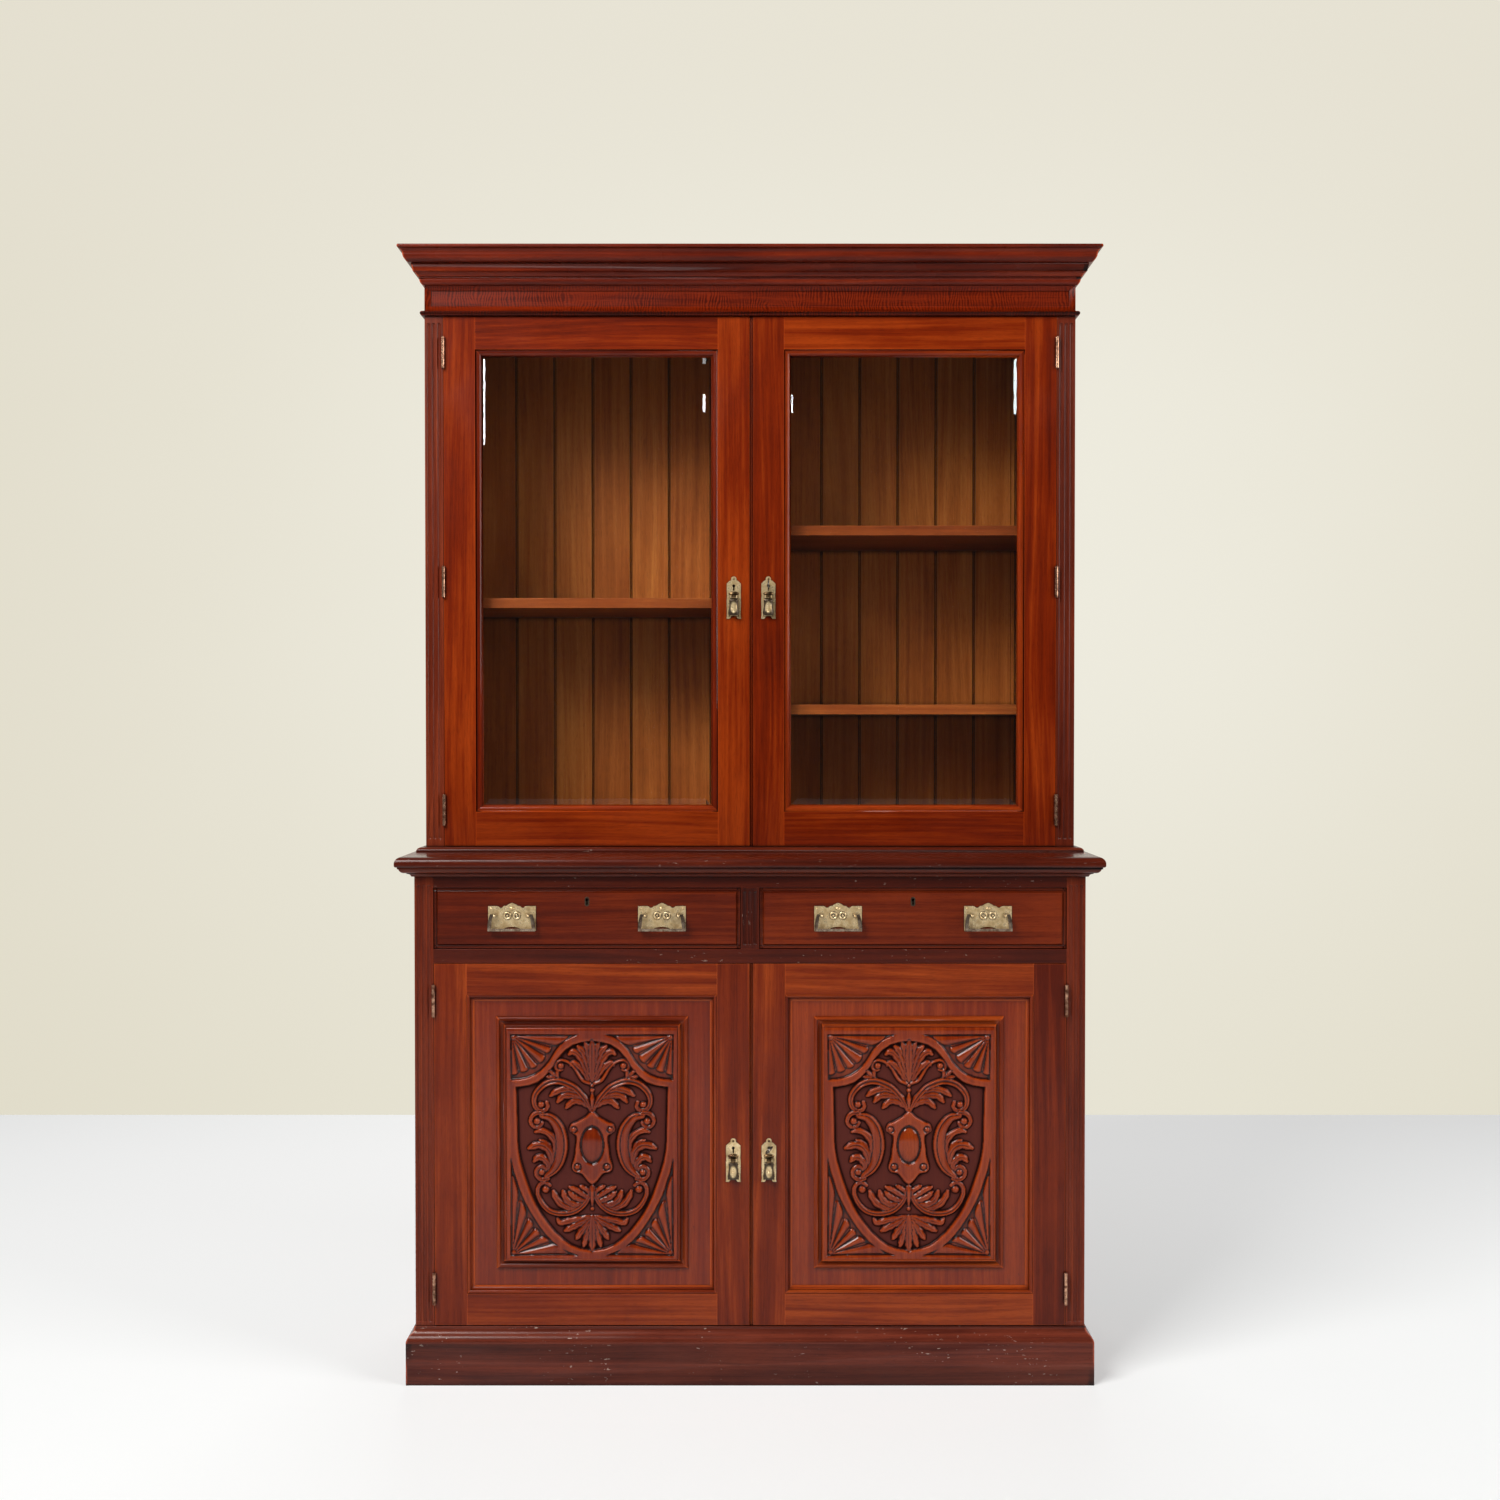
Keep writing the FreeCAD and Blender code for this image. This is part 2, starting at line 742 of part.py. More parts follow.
def exposed_edges(shape, height):
    """Names of the level front and side edges at one height."""
    return [f"Edge{index}" for index, edge in enumerate(shape.Edges, start=1)
            if abs(edge.BoundBox.ZMin - height) < 0.01 and abs(edge.BoundBox.ZMax - height) < 0.01
            and abs(edge.BoundBox.YMin - back_y.value) > 0.01]


def make_base_top():
    """The top board: its upper front and side edges are a full rounded nosing."""
    body = new_body("base_top")
    plan = new_sketch(body, "XY_Plane")
    wide = half_width + S.top_reach
    front = base_front - S.top_reach
    outline(plan, [(-wide, front), (wide, front), (wide, back_y), (-wide, back_y)])
    slab = pad(body, plan, S.top_thick)
    doc.recompute()
    upper_edges = exposed_edges(slab.Shape, S.top_thick.value)
    upper = body.newObject("PartDesign::Fillet", "base_top_nosing")
    upper.Base = (slab, upper_edges)
    bind(upper, "Radius", S.top_edge_radius)
    doc.recompute()
    low_edges = exposed_edges(upper.Shape, 0)
    lower = body.newObject("PartDesign::Fillet", "base_top_underside")
    lower.Base = (upper, low_edges)
    bind(lower, "Radius", S.top_lower_radius)
    place(body, (0, 0, base_carcase_top))
    node("base_top", body)


UNDER_MOULDING = [(0, 0), (0.16, 0), (0.2, 0.08, -0.35), (0.45, 0.3), (0.45, 0.4), (0.52, 0.4, 0.38),
                  (0.92, 0.82), (1, 0.82), (1, 1), (0, 1)]
FOOT_MOULDING = [(0, 0), (1, 0), (1, 0.35, 0.38), (0.35, 0.85), (0.2, 0.85), (0.2, 1), (0, 1)]
BEAD = [(0, 0), (0.58, 0, 0.7), (0.58, 1), (0, 1)]
CORNICE = [(0, 0), (0.04, 0, 0.32), (0.19, 0.16), (0.19, 0.21), (0.25, 0.22, -0.15), (0.41, 0.335),
           (0.44, 0.345), (0.49, 0.5), (0.5, 0.55), (0.6, 0.555, 0.3), (0.82, 0.77, -0.25),
           (0.96, 0.89, 0.7955), (0.96, 1), (0, 1)]


def behind(shape, reach, high, inside):
    """A moulding's section with its flat back moved in behind the carcase face."""
    return [(-inside, 0)] + scaled(shape[1:-1], reach, high) + [(-inside, high)]


def make_mouldings():
    low = base_carcase_top - S.top_moulding_high
    under = scaled(UNDER_MOULDING, S.top_moulding_reach, S.top_moulding_high)
    node("base_top_moulding", *wrap_round("top_moulding", under, under, S.top_moulding_reach, as_size(0),
                                          base_front, back_y, low))
    foot_side = scaled(FOOT_MOULDING, S.foot_reach, S.foot_high)
    foot_front = behind(FOOT_MOULDING, S.foot_reach, S.foot_high, S.face_thick)
    node("upper_foot_moulding", *wrap_round("foot", foot_front, foot_side, S.foot_reach, S.face_thick,
                                            upper_front, back_y, S.base_height))
    crown = behind(CORNICE, S.cornice_reach, S.cornice_high, S.cornice_back)
    node("cornice", *wrap_round("cornice", crown, crown, S.cornice_reach, S.cornice_back,
                                upper_front, back_y, cornice_low))


# ---------------------------------------------------------------- upper carcase


def make_upper_carcase():
    sides = []
    for word, side in SIDES:
        holes = studs(f"{word}_side_hole", [shelf for shelf in SHELVES if shelf[1] == side], True)
        sides.append(side_board(f"upper_side_{word}", side, upper_inside_front, S.base_height, cornice_low,
                                holes))
    node("upper_sides", *sides)
    floor_top = S.base_height + S.shelf_thick
    inside = (-inner_half, inner_half)
    deep = (upper_inside_front + S.door_stop_gap, back_boards_front)
    node("upper_floor_and_ceiling", board("upper_floor", inside, deep, (S.base_height, floor_top)),
         board("upper_ceiling", inside, deep, (cornice_low - S.shelf_thick, cornice_low)))
    upright = board("partition", (-S.partition_thick / 2, S.partition_thick / 2), deep,
                    (floor_top, cornice_low - S.shelf_thick))
    node("upper_partition", cut("partition_bored", upright, studs("partition_hole", SHELVES, False)))
    make_matchboards("upper_back_boards", S.base_height, cornice_low)
    low = S.base_height + S.foot_high
    make_pilasters("upper_pilasters", upper_front, low, bead_low, low + S.flute_margin,
                   bead_low - S.flute_margin, UPPER_HINGES)
    make_frieze()


def make_frieze():
    """A board with a field sunk a step behind bevelled borders, and a bead that runs on along both sides."""
    whole = board("frieze_board", (-half_width, half_width), (upper_front, upper_inside_front),
                  (bead_low, cornice_low))
    bevel = S.frieze_bevel
    sunk = tapered("frieze_sinking", (upper_front, upper_front + S.frieze_sink), (-half_width, half_width),
                   (frieze_low, cornice_low), (bevel - half_width, half_width - bevel),
                   (frieze_low + bevel, cornice_low - bevel * 0.75))
    field = board("frieze_field", (bevel - half_width, half_width - bevel),
                  (upper_front, upper_front + S.frieze_sink + S.frieze_step),
                  (frieze_low + bevel, cornice_low - bevel * 0.75))
    section = scaled(BEAD, S.bead_reach, S.bead_high)
    bead = wrap_round("bead", section, section, S.bead_reach, as_size(0), upper_front, back_y, bead_low)
    node("frieze", cut("frieze_solid", whole, [sunk, field]), *bead)


SHELVES = (("left", -1, S.base_height + S.left_shelf_up),
           ("right_high", 1, S.base_height + S.right_high_shelf_up),
           ("right_low", 1, S.base_height + S.right_low_shelf_up))
shelf_front = back_boards_front - S.upper_shelf_deep


def studs(name, shelves, at_side):
    """Rods where shelf studs go into a carcase side, or into the partition."""
    rods = []
    for word, bay, top in shelves:
        wall = inner_half if at_side else S.partition_thick / 2
        reach = (wall - S.peg_out, wall + S.peg_into) if at_side else (wall - S.peg_into, wall + S.peg_out)
        x = mirrored(bay, *reach)
        for spot, depth in (("front", shelf_front + S.peg_inset), ("rear", back_boards_front - S.peg_inset)):
            rods.append(rod(f"{name}_{word}_{spot}", (x[0], depth, top - S.shelf_thick - S.peg_radius), "x",
                            S.peg_radius, x[1] - x[0]))
    return rods


def make_shelves():
    shelves = []
    for word, bay, top in SHELVES:
        low_x, high_x = mirrored(bay, S.partition_thick / 2, inner_half)
        shelves.append(board(f"shelf_{word}", (low_x + S.shelf_end_gap, high_x - S.shelf_end_gap),
                             (shelf_front, back_boards_front - S.shelf_end_gap), (top - S.shelf_thick, top)))
    node("upper_shelves", *shelves)
    node("shelf_pegs", *studs("side_stud", SHELVES, True), *studs("partition_stud", SHELVES, False))


# ---------------------------------------------------------------- brassware


def keyhole_cut(name, centre_x, front, height, deep):
    """A round hole with a slot below it."""
    hole = rod(name + "_round", (centre_x, front - CUT_PAST, height), "y", S.keyhole_radius, deep + CUT_PAST)
    half_slot = S.keyhole_slot_wide / 2
    slot = board(name + "_slot", (centre_x - half_slot, centre_x + half_slot),
                 (front - CUT_PAST, front + deep), (height - S.keyhole_slot_long, height))
    return [hole, slot]


def drawer_keyhole(name, centre_x, front, height):
    """The keyhole in the middle of a drawer, cut deep into its front."""
    up = S.drawer_keyhole_up + (S.keyhole_slot_long - S.keyhole_radius) / 2
    return keyhole_cut(name, centre_x, front, height + up, S.face_thick * 0.7)


def drawer_liner(name, centre_x, front, height, proud):
    """A round-ended block let into a drawer's front about its keyhole."""
    half = S.keyhole_radius + S.ring_wall
    straight = (S.keyhole_slot_long + S.keyhole_radius) / 2 + S.ring_wall * 1.8 - half
    corners = [(half, -straight), (half, straight, QUARTER), (0, straight + half, QUARTER), (-half, straight),
               (-half, -straight, QUARTER), (0, -straight - half, QUARTER)]
    return extruded(name, "XZ_Plane", corners, S.ring_into + proud,
                    (centre_x, front + S.ring_into, height + S.drawer_keyhole_up))


# right half of a door plate from the foot's centre up, in shares of half its width and half its height
DOOR_PLATE = [(0, -0.86), (0.42, -0.88, 0.3), (0.62, -1), (1, -1), (0.94, -0.86), (0.97, -0.3, 0.04),
              (0.93, 0.1), (0.97, 0.3), (0.97, 0.66), (0.55, 0.8), (0.36, 0.82), (0.36, 0.9, 0.4), (0, 1)]


def both_halves(right):
    """Closes an outline given from the foot up on the right by mirroring it on the left."""
    count = len(right)
    left = []
    for index in range(count - 2, 0, -1):
        bulge = right[index - 1][2] if len(right[index - 1]) > 2 else 0
        left.append((-right[index][0], right[index][1], bulge))
    turned = [(point[0], point[1], point[2] if len(point) > 2 else 0) for point in right]
    top_bulge = turned[count - 2][2]
    turned[-1] = (turned[-1][0], turned[-1][1], top_bulge)
    return turned + left


def make_door_plate(label, centre_x, front, height):
    """Back plate with a keyhole, and two ears that hold the drop's pin."""
    shape = scaled(both_halves(DOOR_PLATE), S.door_plate_wide / 2, S.door_plate_high / 2)
    plate = extruded(label + "_sheet", "XZ_Plane", shape, S.plate_thick, (centre_x, front, height))
    holed = cut(label + "_holed", plate, keyhole_cut(label + "_key", centre_x, front - S.plate_thick,
                                                     height + S.keyhole_up, S.plate_thick + CUT_PAST))
    pin_y = front - S.plate_thick - S.drop_pin_out
    pin_z = height + S.drop_pin_up
    inner = S.drop_half_top + S.ear_gap
    ears = []
    for word, side in SIDES:
        x = mirrored(side, inner, inner + S.ear_thick)
        x = (centre_x + x[0], centre_x + x[1])
        ears.append(board(f"{label}_ear_{word}", x, (pin_y, front - S.plate_thick),
                          (pin_z - S.drop_eye_radius, pin_z + S.drop_eye_radius)))
        ears.append(rod(f"{label}_ear_end_{word}", (x[0], pin_y, pin_z), "x", S.drop_eye_radius, S.ear_thick))
    pin_half = inner + S.ear_thick
    pin = rod(label + "_pin", (centre_x - pin_half, pin_y, pin_z), "x", S.drop_pin_radius, pin_half * 2)
    node(label, fused(label, [holed, pin] + ears))


DROP_SHAPE = [(0.55, -0.9), (0.95, -1), (1, -0.86), (0.88, -0.6, -0.15), (0.44, 0)]


def make_drop(label, centre_x, front, height):
    """A bell-shaped drop on an eye that turns round the plate's pin."""
    pin_y = front - S.plate_thick - S.drop_pin_out
    pin_z = height + S.drop_pin_up
    right = scaled([(0, -0.93, 0.1)] + DROP_SHAPE, S.drop_half_bottom, S.drop_long)
    left = scaled([(-0.44, 0, -0.15), (-0.88, -0.6), (-1, -0.86), (-0.95, -1), (-0.55, -0.9, 0.1)],
                  S.drop_half_bottom, S.drop_long)
    blade = extruded(label + "_blade", "XZ_Plane", right + left, S.drop_thick,
                     (centre_x, pin_y + S.drop_thick / 2, pin_z))
    eye = rod(label + "_eye", (centre_x - S.drop_half_top, pin_y, pin_z), "x", S.drop_eye_radius,
              S.drop_half_top * 2)
    lip_half = S.drop_half_bottom * 0.8
    lip = rod(label + "_lip", (centre_x - lip_half, pin_y, pin_z - S.drop_long * 0.93), "x",
              S.drop_thick * 0.7, lip_half * 2)
    bore = rod(label + "_bore", (centre_x - S.drop_half_bottom, pin_y, pin_z), "x",
               S.drop_pin_radius + S.drop_pin_play, S.drop_half_bottom * 2)
    node(label, cut(label, fused(label + "_solid", [blade, eye, lip]), [bore]))


# right half of a drawer pull's back plate from the foot's centre up, in shares of its half width and height
PULL_PLATE = [(0, -0.69, -0.1), (0.32, -0.8), (0.345, -1), (1, -1), (1, 1), (0.62, 1, 0.2), (0.5, 0.86),
              (0.42, 0.86), (0.34, 1.0), (0.24, 1.02, 0.1)]


def make_pull_plates(label, centre_x, front, height):
    """Both back plates of a drawer with their posts, and the liner of its keyhole."""
    pieces = []
    for word, side in SIDES:
        plate_x = centre_x + S.pull_offset * side
        name = f"{label}_{word}"
        crest = (0, (S.pull_plate_high / 2 + S.pull_crest) / (S.pull_plate_high / 2).value)
        half_high = S.pull_plate_high / 2
        corners = scaled(both_halves(PULL_PLATE + [(0, 1)]), S.pull_plate_wide / 2, half_high)
        top = len(PULL_PLATE)
        corners[top] = (crest[0], half_high + S.pull_crest, corners[top][2])
        plate = extruded(name + "_sheet", "XZ_Plane", corners, S.plate_thick, (plate_x, front, height))
        pivot_y = front - S.plate_thick - S.pivot_out
        pivot_z = height + S.pull_post_up
        parts, bores = [plate], []
        for end_word, end in SIDES:
            post_x = plate_x + S.pull_post_half * end
            parts.append(rod(f"{name}_post_{end_word}", (post_x, front - S.plate_thick - S.post_out, pivot_z),
                             "y", S.post_radius, S.post_out))
            bores.append(rod(f"{name}_bore_{end_word}", (post_x - S.post_radius * 2, pivot_y, pivot_z), "x",
                             S.bail_pin_radius + S.bail_pin_play, S.post_radius * 4))
        pieces.append(cut(name, fused(name + "_solid", parts), bores))
    blank = drawer_liner(label + "_keyhole_ring", centre_x, front, height, S.ring_proud)
    pieces.append(cut(label + "_keyhole", blank, drawer_keyhole(label + "_keyhole", centre_x, front, height)))
    return pieces


def make_bail(label, centre_x, front, height):
    """A flat swinging handle: two spreading arms, a bottom bar, and a pin at the head of each arm."""
    pivot_y = front - S.plate_thick - S.pivot_out
    pivot_z = height + S.pull_post_up
    low = -S.bail_drop
    head = S.bail_pin_radius * 2
    bar_top = low + S.bail_bar_high
    inner_top = S.pull_post_half + S.post_radius + S.bail_gap
    outer_top = inner_top + S.bail_arm_wide
    inner_low = S.bail_half_bottom - S.bail_arm_wide * 1.3
    outside = [(-S.bail_half_bottom, low), (S.bail_half_bottom, low), (S.bail_half_bottom, low + 3, 0.1),
               (outer_top, head), (-outer_top, head, 0.1), (-S.bail_half_bottom, low + 3)]
    body = new_body(label + "_frame")
    face = new_sketch(body, "XZ_Plane")
    outline(face, outside)
    pad(body, face, S.bail_thick)
    window = new_sketch(body, "XZ_Plane")
    outline(window, [(-inner_low, bar_top), (inner_low, bar_top), (inner_top, head + CUT_PAST),
                     (-inner_top, head + CUT_PAST)])
    pocket_through(body, window)
    place(body, (centre_x, pivot_y + S.bail_thick / 2, pivot_z))
    pins = []
    for word, side in SIDES:
        reach = mirrored(side, S.pull_post_half - S.post_radius, inner_top + S.bail_arm_wide / 2)
        pins.append(rod(f"{label}_pin_{word}", (centre_x + reach[0], pivot_y, pivot_z), "x",
                        S.bail_pin_radius, reach[1] - reach[0]))
    node(label, fused(label, [body] + pins))


# ---------------------------------------------------------------- drawers


def make_drawer(word, side):
    """A moulded front lapped over a box whose bottom slides in grooves."""
    low_x = S.divider_width / 2 + S.drawer_gap
    high_x = opening_half - S.drawer_gap
    x = mirrored(side, low_x, high_x)
    low = drawer_floor + S.drawer_gap
    high = drawer_top - S.drawer_gap
    centre_x = (x[0] + x[1]) / 2
    centre_z = (low + high) / 2
    step = S.drawer_edge_deep
    edge = S.drawer_edge
    back_of_front = base_front + S.face_thick
    blank = board(f"drawer_{word}_blank", x, (base_front, back_of_front), (low, high))
    section = [(-CUT_PAST, -CUT_PAST), (-CUT_PAST, edge), (0, edge, -0.3), (step, edge * 0.4),
               (step * 0.7, edge * 0.4), (step * 0.7, -CUT_PAST)]
    moulded = mitred_cutters(f"drawer_{word}_edge", section, x, low, high)
    liner = drawer_liner(f"drawer_{word}_liner_seat", centre_x, base_front, centre_z, as_size(CUT_PAST))
    keyhole = drawer_keyhole(f"drawer_{word}_keyhole", centre_x, base_front, centre_z)
    groove_low = low + S.drawer_bottom_up
    groove = (groove_low, groove_low + S.drawer_bottom_thick)
    bottom_inset = S.drawer_side_thick - S.drawer_groove
    front_groove = board(f"drawer_{word}_front_groove", (x[0] + bottom_inset, x[1] - bottom_inset),
                         (back_of_front - S.drawer_groove, back_of_front + CUT_PAST), groove)
    tools = moulded + [liner, front_groove] + keyhole
    node(f"drawer_{word}_front", cut(f"drawer_{word}_moulded", blank, tools))

    box_back = base_front + S.drawer_long
    side_high = high - S.drawer_side_drop
    pieces = []
    inside = (x[0] + S.drawer_side_thick, x[1] - S.drawer_side_thick)
    slot_y = (back_of_front - CUT_PAST, box_back + CUT_PAST)
    planks = (("left", (x[0], inside[0]), (inside[0] - S.drawer_groove, inside[0] + CUT_PAST)),
              ("right", (inside[1], x[1]), (inside[1] - CUT_PAST, inside[1] + S.drawer_groove)))
    for spot, plank_x, slot_x in planks:
        plank = board(f"drawer_{word}_side_{spot}", plank_x, (back_of_front, box_back), (low, side_high))
        slot = board(f"drawer_{word}_slot_{spot}", slot_x, slot_y, groove)
        pieces.append(cut(f"drawer_{word}_grooved_{spot}", plank, [slot]))
    pieces.append(board(f"drawer_{word}_back", inside, (box_back - S.drawer_side_thick, box_back),
                        (groove[1], side_high)))
    pieces.append(board(f"drawer_{word}_bottom", (inside[0] - S.drawer_groove, inside[1] + S.drawer_groove),
                        (back_of_front - S.drawer_groove, box_back), groove))
    node(f"drawer_{word}_box", *pieces)
    plates = make_pull_plates(f"drawer_{word}_pulls", centre_x, base_front, centre_z)
    node(f"drawer_{word}_pull_plates", *plates)
    for end_word, end in SIDES:
        make_bail(f"drawer_{word}_bail_{end_word}", centre_x + S.pull_offset * end, base_front, centre_z)


def mitred_cutters(name, section, x, low, high):
    """Four cutters that mould the edges of a rectangular front; the section's corners are (back, inward)."""
    across = x[1] - x[0]
    up = high - low
    return [extruded(f"{name}_bottom", "YZ_Plane", section, across, (x[0], base_front, low)),
            extruded(f"{name}_top", "YZ_Plane", section, across, (x[1], base_front, high), (0, 1, 0), 180),
            extruded(f"{name}_right", "YZ_Plane", section, up, (x[1], base_front, low), (0, 1, 0), -90),
            extruded(f"{name}_left", "YZ_Plane", section, up, (x[0], base_front, high), (0, 1, 0), 90)]


# ---------------------------------------------------------------- doors


lock_long = S.stile_width - S.panel_groove - S.lock_land  # leaves wood before the panel's groove


def lock_place(front, height):
    """The keyhole line's height and the lock's span in depth."""
    back = front + S.face_thick - S.lock_back_gap
    return height + S.keyhole_up, (back - S.lock_thick, back)


def lock_case(name, edge_x, centre_x, front, height):
    """A hollow case let into the stile, open to the bolt at the edge and to the key in front."""
    key_z, deep = lock_place(front, height)
    half = S.lock_high / 2
    wall = S.lock_wall
    x = (edge_x, edge_x + lock_long)
    shell = board(name + "_shell", x, deep, (key_z - half, key_z + half))
    hollow = board(name + "_hollow", (x[0] + wall, x[1] - wall), (deep[0] + wall, deep[1] - wall),
                   (key_z - half + wall, key_z + half - wall))
    bolt_x, bolt_y, bolt_z = bolt_space(edge_x, front, height, S.bolt_play)
    mouth = board(name + "_mouth", (x[0] - CUT_PAST, x[0] + wall + CUT_PAST), bolt_y, bolt_z)
    keyhole = keyhole_cut(name + "_keyhole", centre_x, deep[0], key_z, wall + CUT_PAST)
    return cut(name, shell, [hollow, mouth] + keyhole)


def bolt_space(edge_x, front, height, play):
    key_z, deep = lock_place(front, height)
    back = deep[1] - S.lock_wall - S.bolt_play
    y = (back - S.bolt_thick - play, back + play)
    z = (key_z - S.bolt_high / 2 - play, key_z + S.bolt_high / 2 + play)
    return (edge_x, edge_x + S.bolt_long), y, z


def make_lock_bolt(label, edge_x, front, height):
    x, y, z = bolt_space(edge_x, front, height, as_size(0))
    node(label, board(label, x, y, z))


def make_key(label, centre_x, front, height, turn):
    """A key in its lock: shank, bit inside the case and a flat ring bow in front."""
    key_z, deep = lock_place(front, height)
    bit_front = deep[0] + S.lock_wall + S.bolt_play
    tip = bit_front + S.key_bit_deep
    bow_y = front - S.key_out
    shank_start = bow_y + S.key_bow_half
    shank = rod(label + "_shank", (0, shank_start, 0), "y", S.key_radius, tip - shank_start)
    half_bit = S.key_bit_thick / 2
    bit = board(label + "_bit", (-half_bit, half_bit), (bit_front, tip), (-S.key_bit_long, 0))
    ring = doc.addObject("Part::Torus", label + "_bow")
    bind(ring, "Radius1", S.key_bow_half)
    bind(ring, "Radius2", S.key_bow_wire)
    place(ring, (0, bow_y, 0), (0, 1, 0), 90)
    collar = rod(label + "_collar", (0, front - S.plate_thick - 2.5, 0), "y", S.key_radius * 1.25, 1.8)
    key = fused(label, [shank, bit, ring, collar])
    key.Placement = Placement(Vector(0, 0, 0), Rotation(Vector(0, 1, 0), turn))
    bind(key, "Placement.Base.x", centre_x)
    bind(key, "Placement.Base.z", key_z)
    node(label, key)


def meeting_stile(name, edge_x, front, z):
    """The right door's stile with a round bead worked along its meeting edge."""
    r = S.bead_width / 2
    full = 0.9
    corners = [(0, S.quirk_deep + r * 0.3), (0, r * 0.9, -0.4), (r, 0, -0.4), (S.bead_width, r * 0.9),
               (S.bead_width, S.quirk_deep), (S.bead_width + S.quirk_width * full, S.quirk_deep),
               (S.bead_width + S.quirk_width, 0), (S.bead_width + S.stile_width, 0),
               (S.bead_width + S.stile_width, S.face_thick), (0, S.face_thick)]
    return extruded(name, "XY_Plane", corners, z[1] - z[0], (edge_x, front, z[0]))


def door_frame(label, side, front, z, rails, hinge_feet, plate_z, groove):
    """Two stiles and two rails with mortise and tenon joints, grooved for a panel where there is one."""
    near = S.meeting_half_gap
    far = opening_half - S.door_gap
    meeting_wide = S.stile_width if side < 0 else S.stile_width + S.bead_width
    y = (front, front + S.face_thick)
    open_x = mirrored(side, near + meeting_wide, far - S.stile_width)
    open_z = (z[0] + rails[0], z[1] - rails[1])
    tenon_y = (front + (S.face_thick - S.tenon_thick) / 2, front + (S.face_thick + S.tenon_thick) / 2)
    rail_pieces, tenons = [], {1: [], -1: []}
    for word, rail_z in (("bottom", (z[0], open_z[0])), ("top", (open_z[1], z[1]))):
        rail = board(f"{label}_{word}_rail", open_x, y, rail_z)
        tenon_z = (rail_z[0] + S.tenon_shoulder, rail_z[1] - S.tenon_shoulder)
        ends = [board(f"{label}_{word}_tenon_a", (open_x[0] - S.tenon_long, open_x[0]), tenon_y, tenon_z),
                board(f"{label}_{word}_tenon_b", (open_x[1], open_x[1] + S.tenon_long), tenon_y, tenon_z)]
        tenons[-1].append(ends[0])
        tenons[1].append(ends[1])
        rail_pieces.append(fused(f"{label}_{word}_tenoned_rail", [rail] + ends))
    edge_x = near * side
    plate_x = (near + (meeting_wide - S.stile_width) + S.stile_width / 2) * side
    key_z, lock_y = lock_place(front, plate_z)
    tools = list(tenons[-side])
    if side > 0:
        meeting = meeting_stile(label + "_meeting_blank", edge_x, front, z)
        tools.append(board(label + "_lock_seat", (edge_x - CUT_PAST, edge_x + lock_long + S.lock_fit),
                           (lock_y[0] - S.lock_fit, lock_y[1] + CUT_PAST * 3),
                           (key_z - S.lock_high / 2 - S.lock_fit, key_z + S.lock_high / 2 + S.lock_fit)))
        tools += keyhole_cut(label + "_key", plate_x, front, key_z, S.face_thick - S.lock_thick)
    else:
        meeting = board(label + "_meeting_blank", mirrored(side, near, near + meeting_wide), y, z)
        bolt_x, bolt_y, bolt_z = bolt_space(edge_x, front, plate_z, as_size(1))
        tools.append(board(label + "_bolt_seat", (edge_x - S.bolt_travel, edge_x + CUT_PAST), bolt_y, bolt_z))
        tools += keyhole_cut(label + "_key", plate_x, front, key_z, S.face_thick - S.lock_thick)
    grooves = []
    if groove is not None:
        wide = S.panel_groove
        grooves = [board(label + "_groove", (open_x[0] - wide, open_x[1] + wide), groove,
                         (open_z[0] - wide, open_z[1] + wide))]
    meeting = cut(label + "_meeting_stile", meeting, tools + grooves)
    hinge_blank = board(label + "_hinge_blank", mirrored(side, far - S.stile_width, far), y, z)
    seats = [leaf_recess(f"{label}_leaf_seat{index}", side, front, foot, False)
             for index, foot in enumerate(hinge_feet)]
    hinge_stile = cut(label + "_hinge_stile", hinge_blank, tenons[side] + seats + grooves)
    rail_pieces = [cut(piece.Name + "_grooved", piece, grooves) for piece in rail_pieces]
    node(label, meeting, hinge_stile, *rail_pieces)
    return open_x, open_z, plate_x, edge_x


def make_door_leaves(label, side, front, hinge_feet, extra):
    leaves = [leaf_with_knuckles(f"{label}_{index}", side, front, foot, False, DOOR_KNUCKLES)
              for index, foot in enumerate(hinge_feet)]
    node(label, *leaves, *extra)


def make_door_fittings(name, side, front, plate_x, edge_x, plate_z, hinge_feet, key_turn):
    """Hinge leaves, plate and drop on every door; lock, bolt and key on the right ones."""
    extra = []
    if side > 0:
        extra = [lock_case(f"{name}_lock", edge_x, plate_x, front, plate_z)]
    leaves = f"{name}_hinges_and_lock" if extra else f"{name}_hinges"
    make_door_leaves(leaves, side, front, hinge_feet, extra)
    make_door_plate(f"{name}_plate", plate_x, front, plate_z)
    make_drop(f"{name}_drop_pull", plate_x, front, plate_z)
    if side > 0:
        make_lock_bolt(f"{name}_lock_bolt", edge_x, front, plate_z)
        make_key(f"{name}_key", plate_x, front, plate_z, key_turn)


SIGHT = [(0, 0), (0.12, 0), (0.12, 0.22, -0.36), (0.72, 0.86), (0.72, 1), (1, 1), (1, 0)]
GLAZING_SWELL = 0.38  # the glazing bead's roundness as a share of its slope, which keeps it off the glass


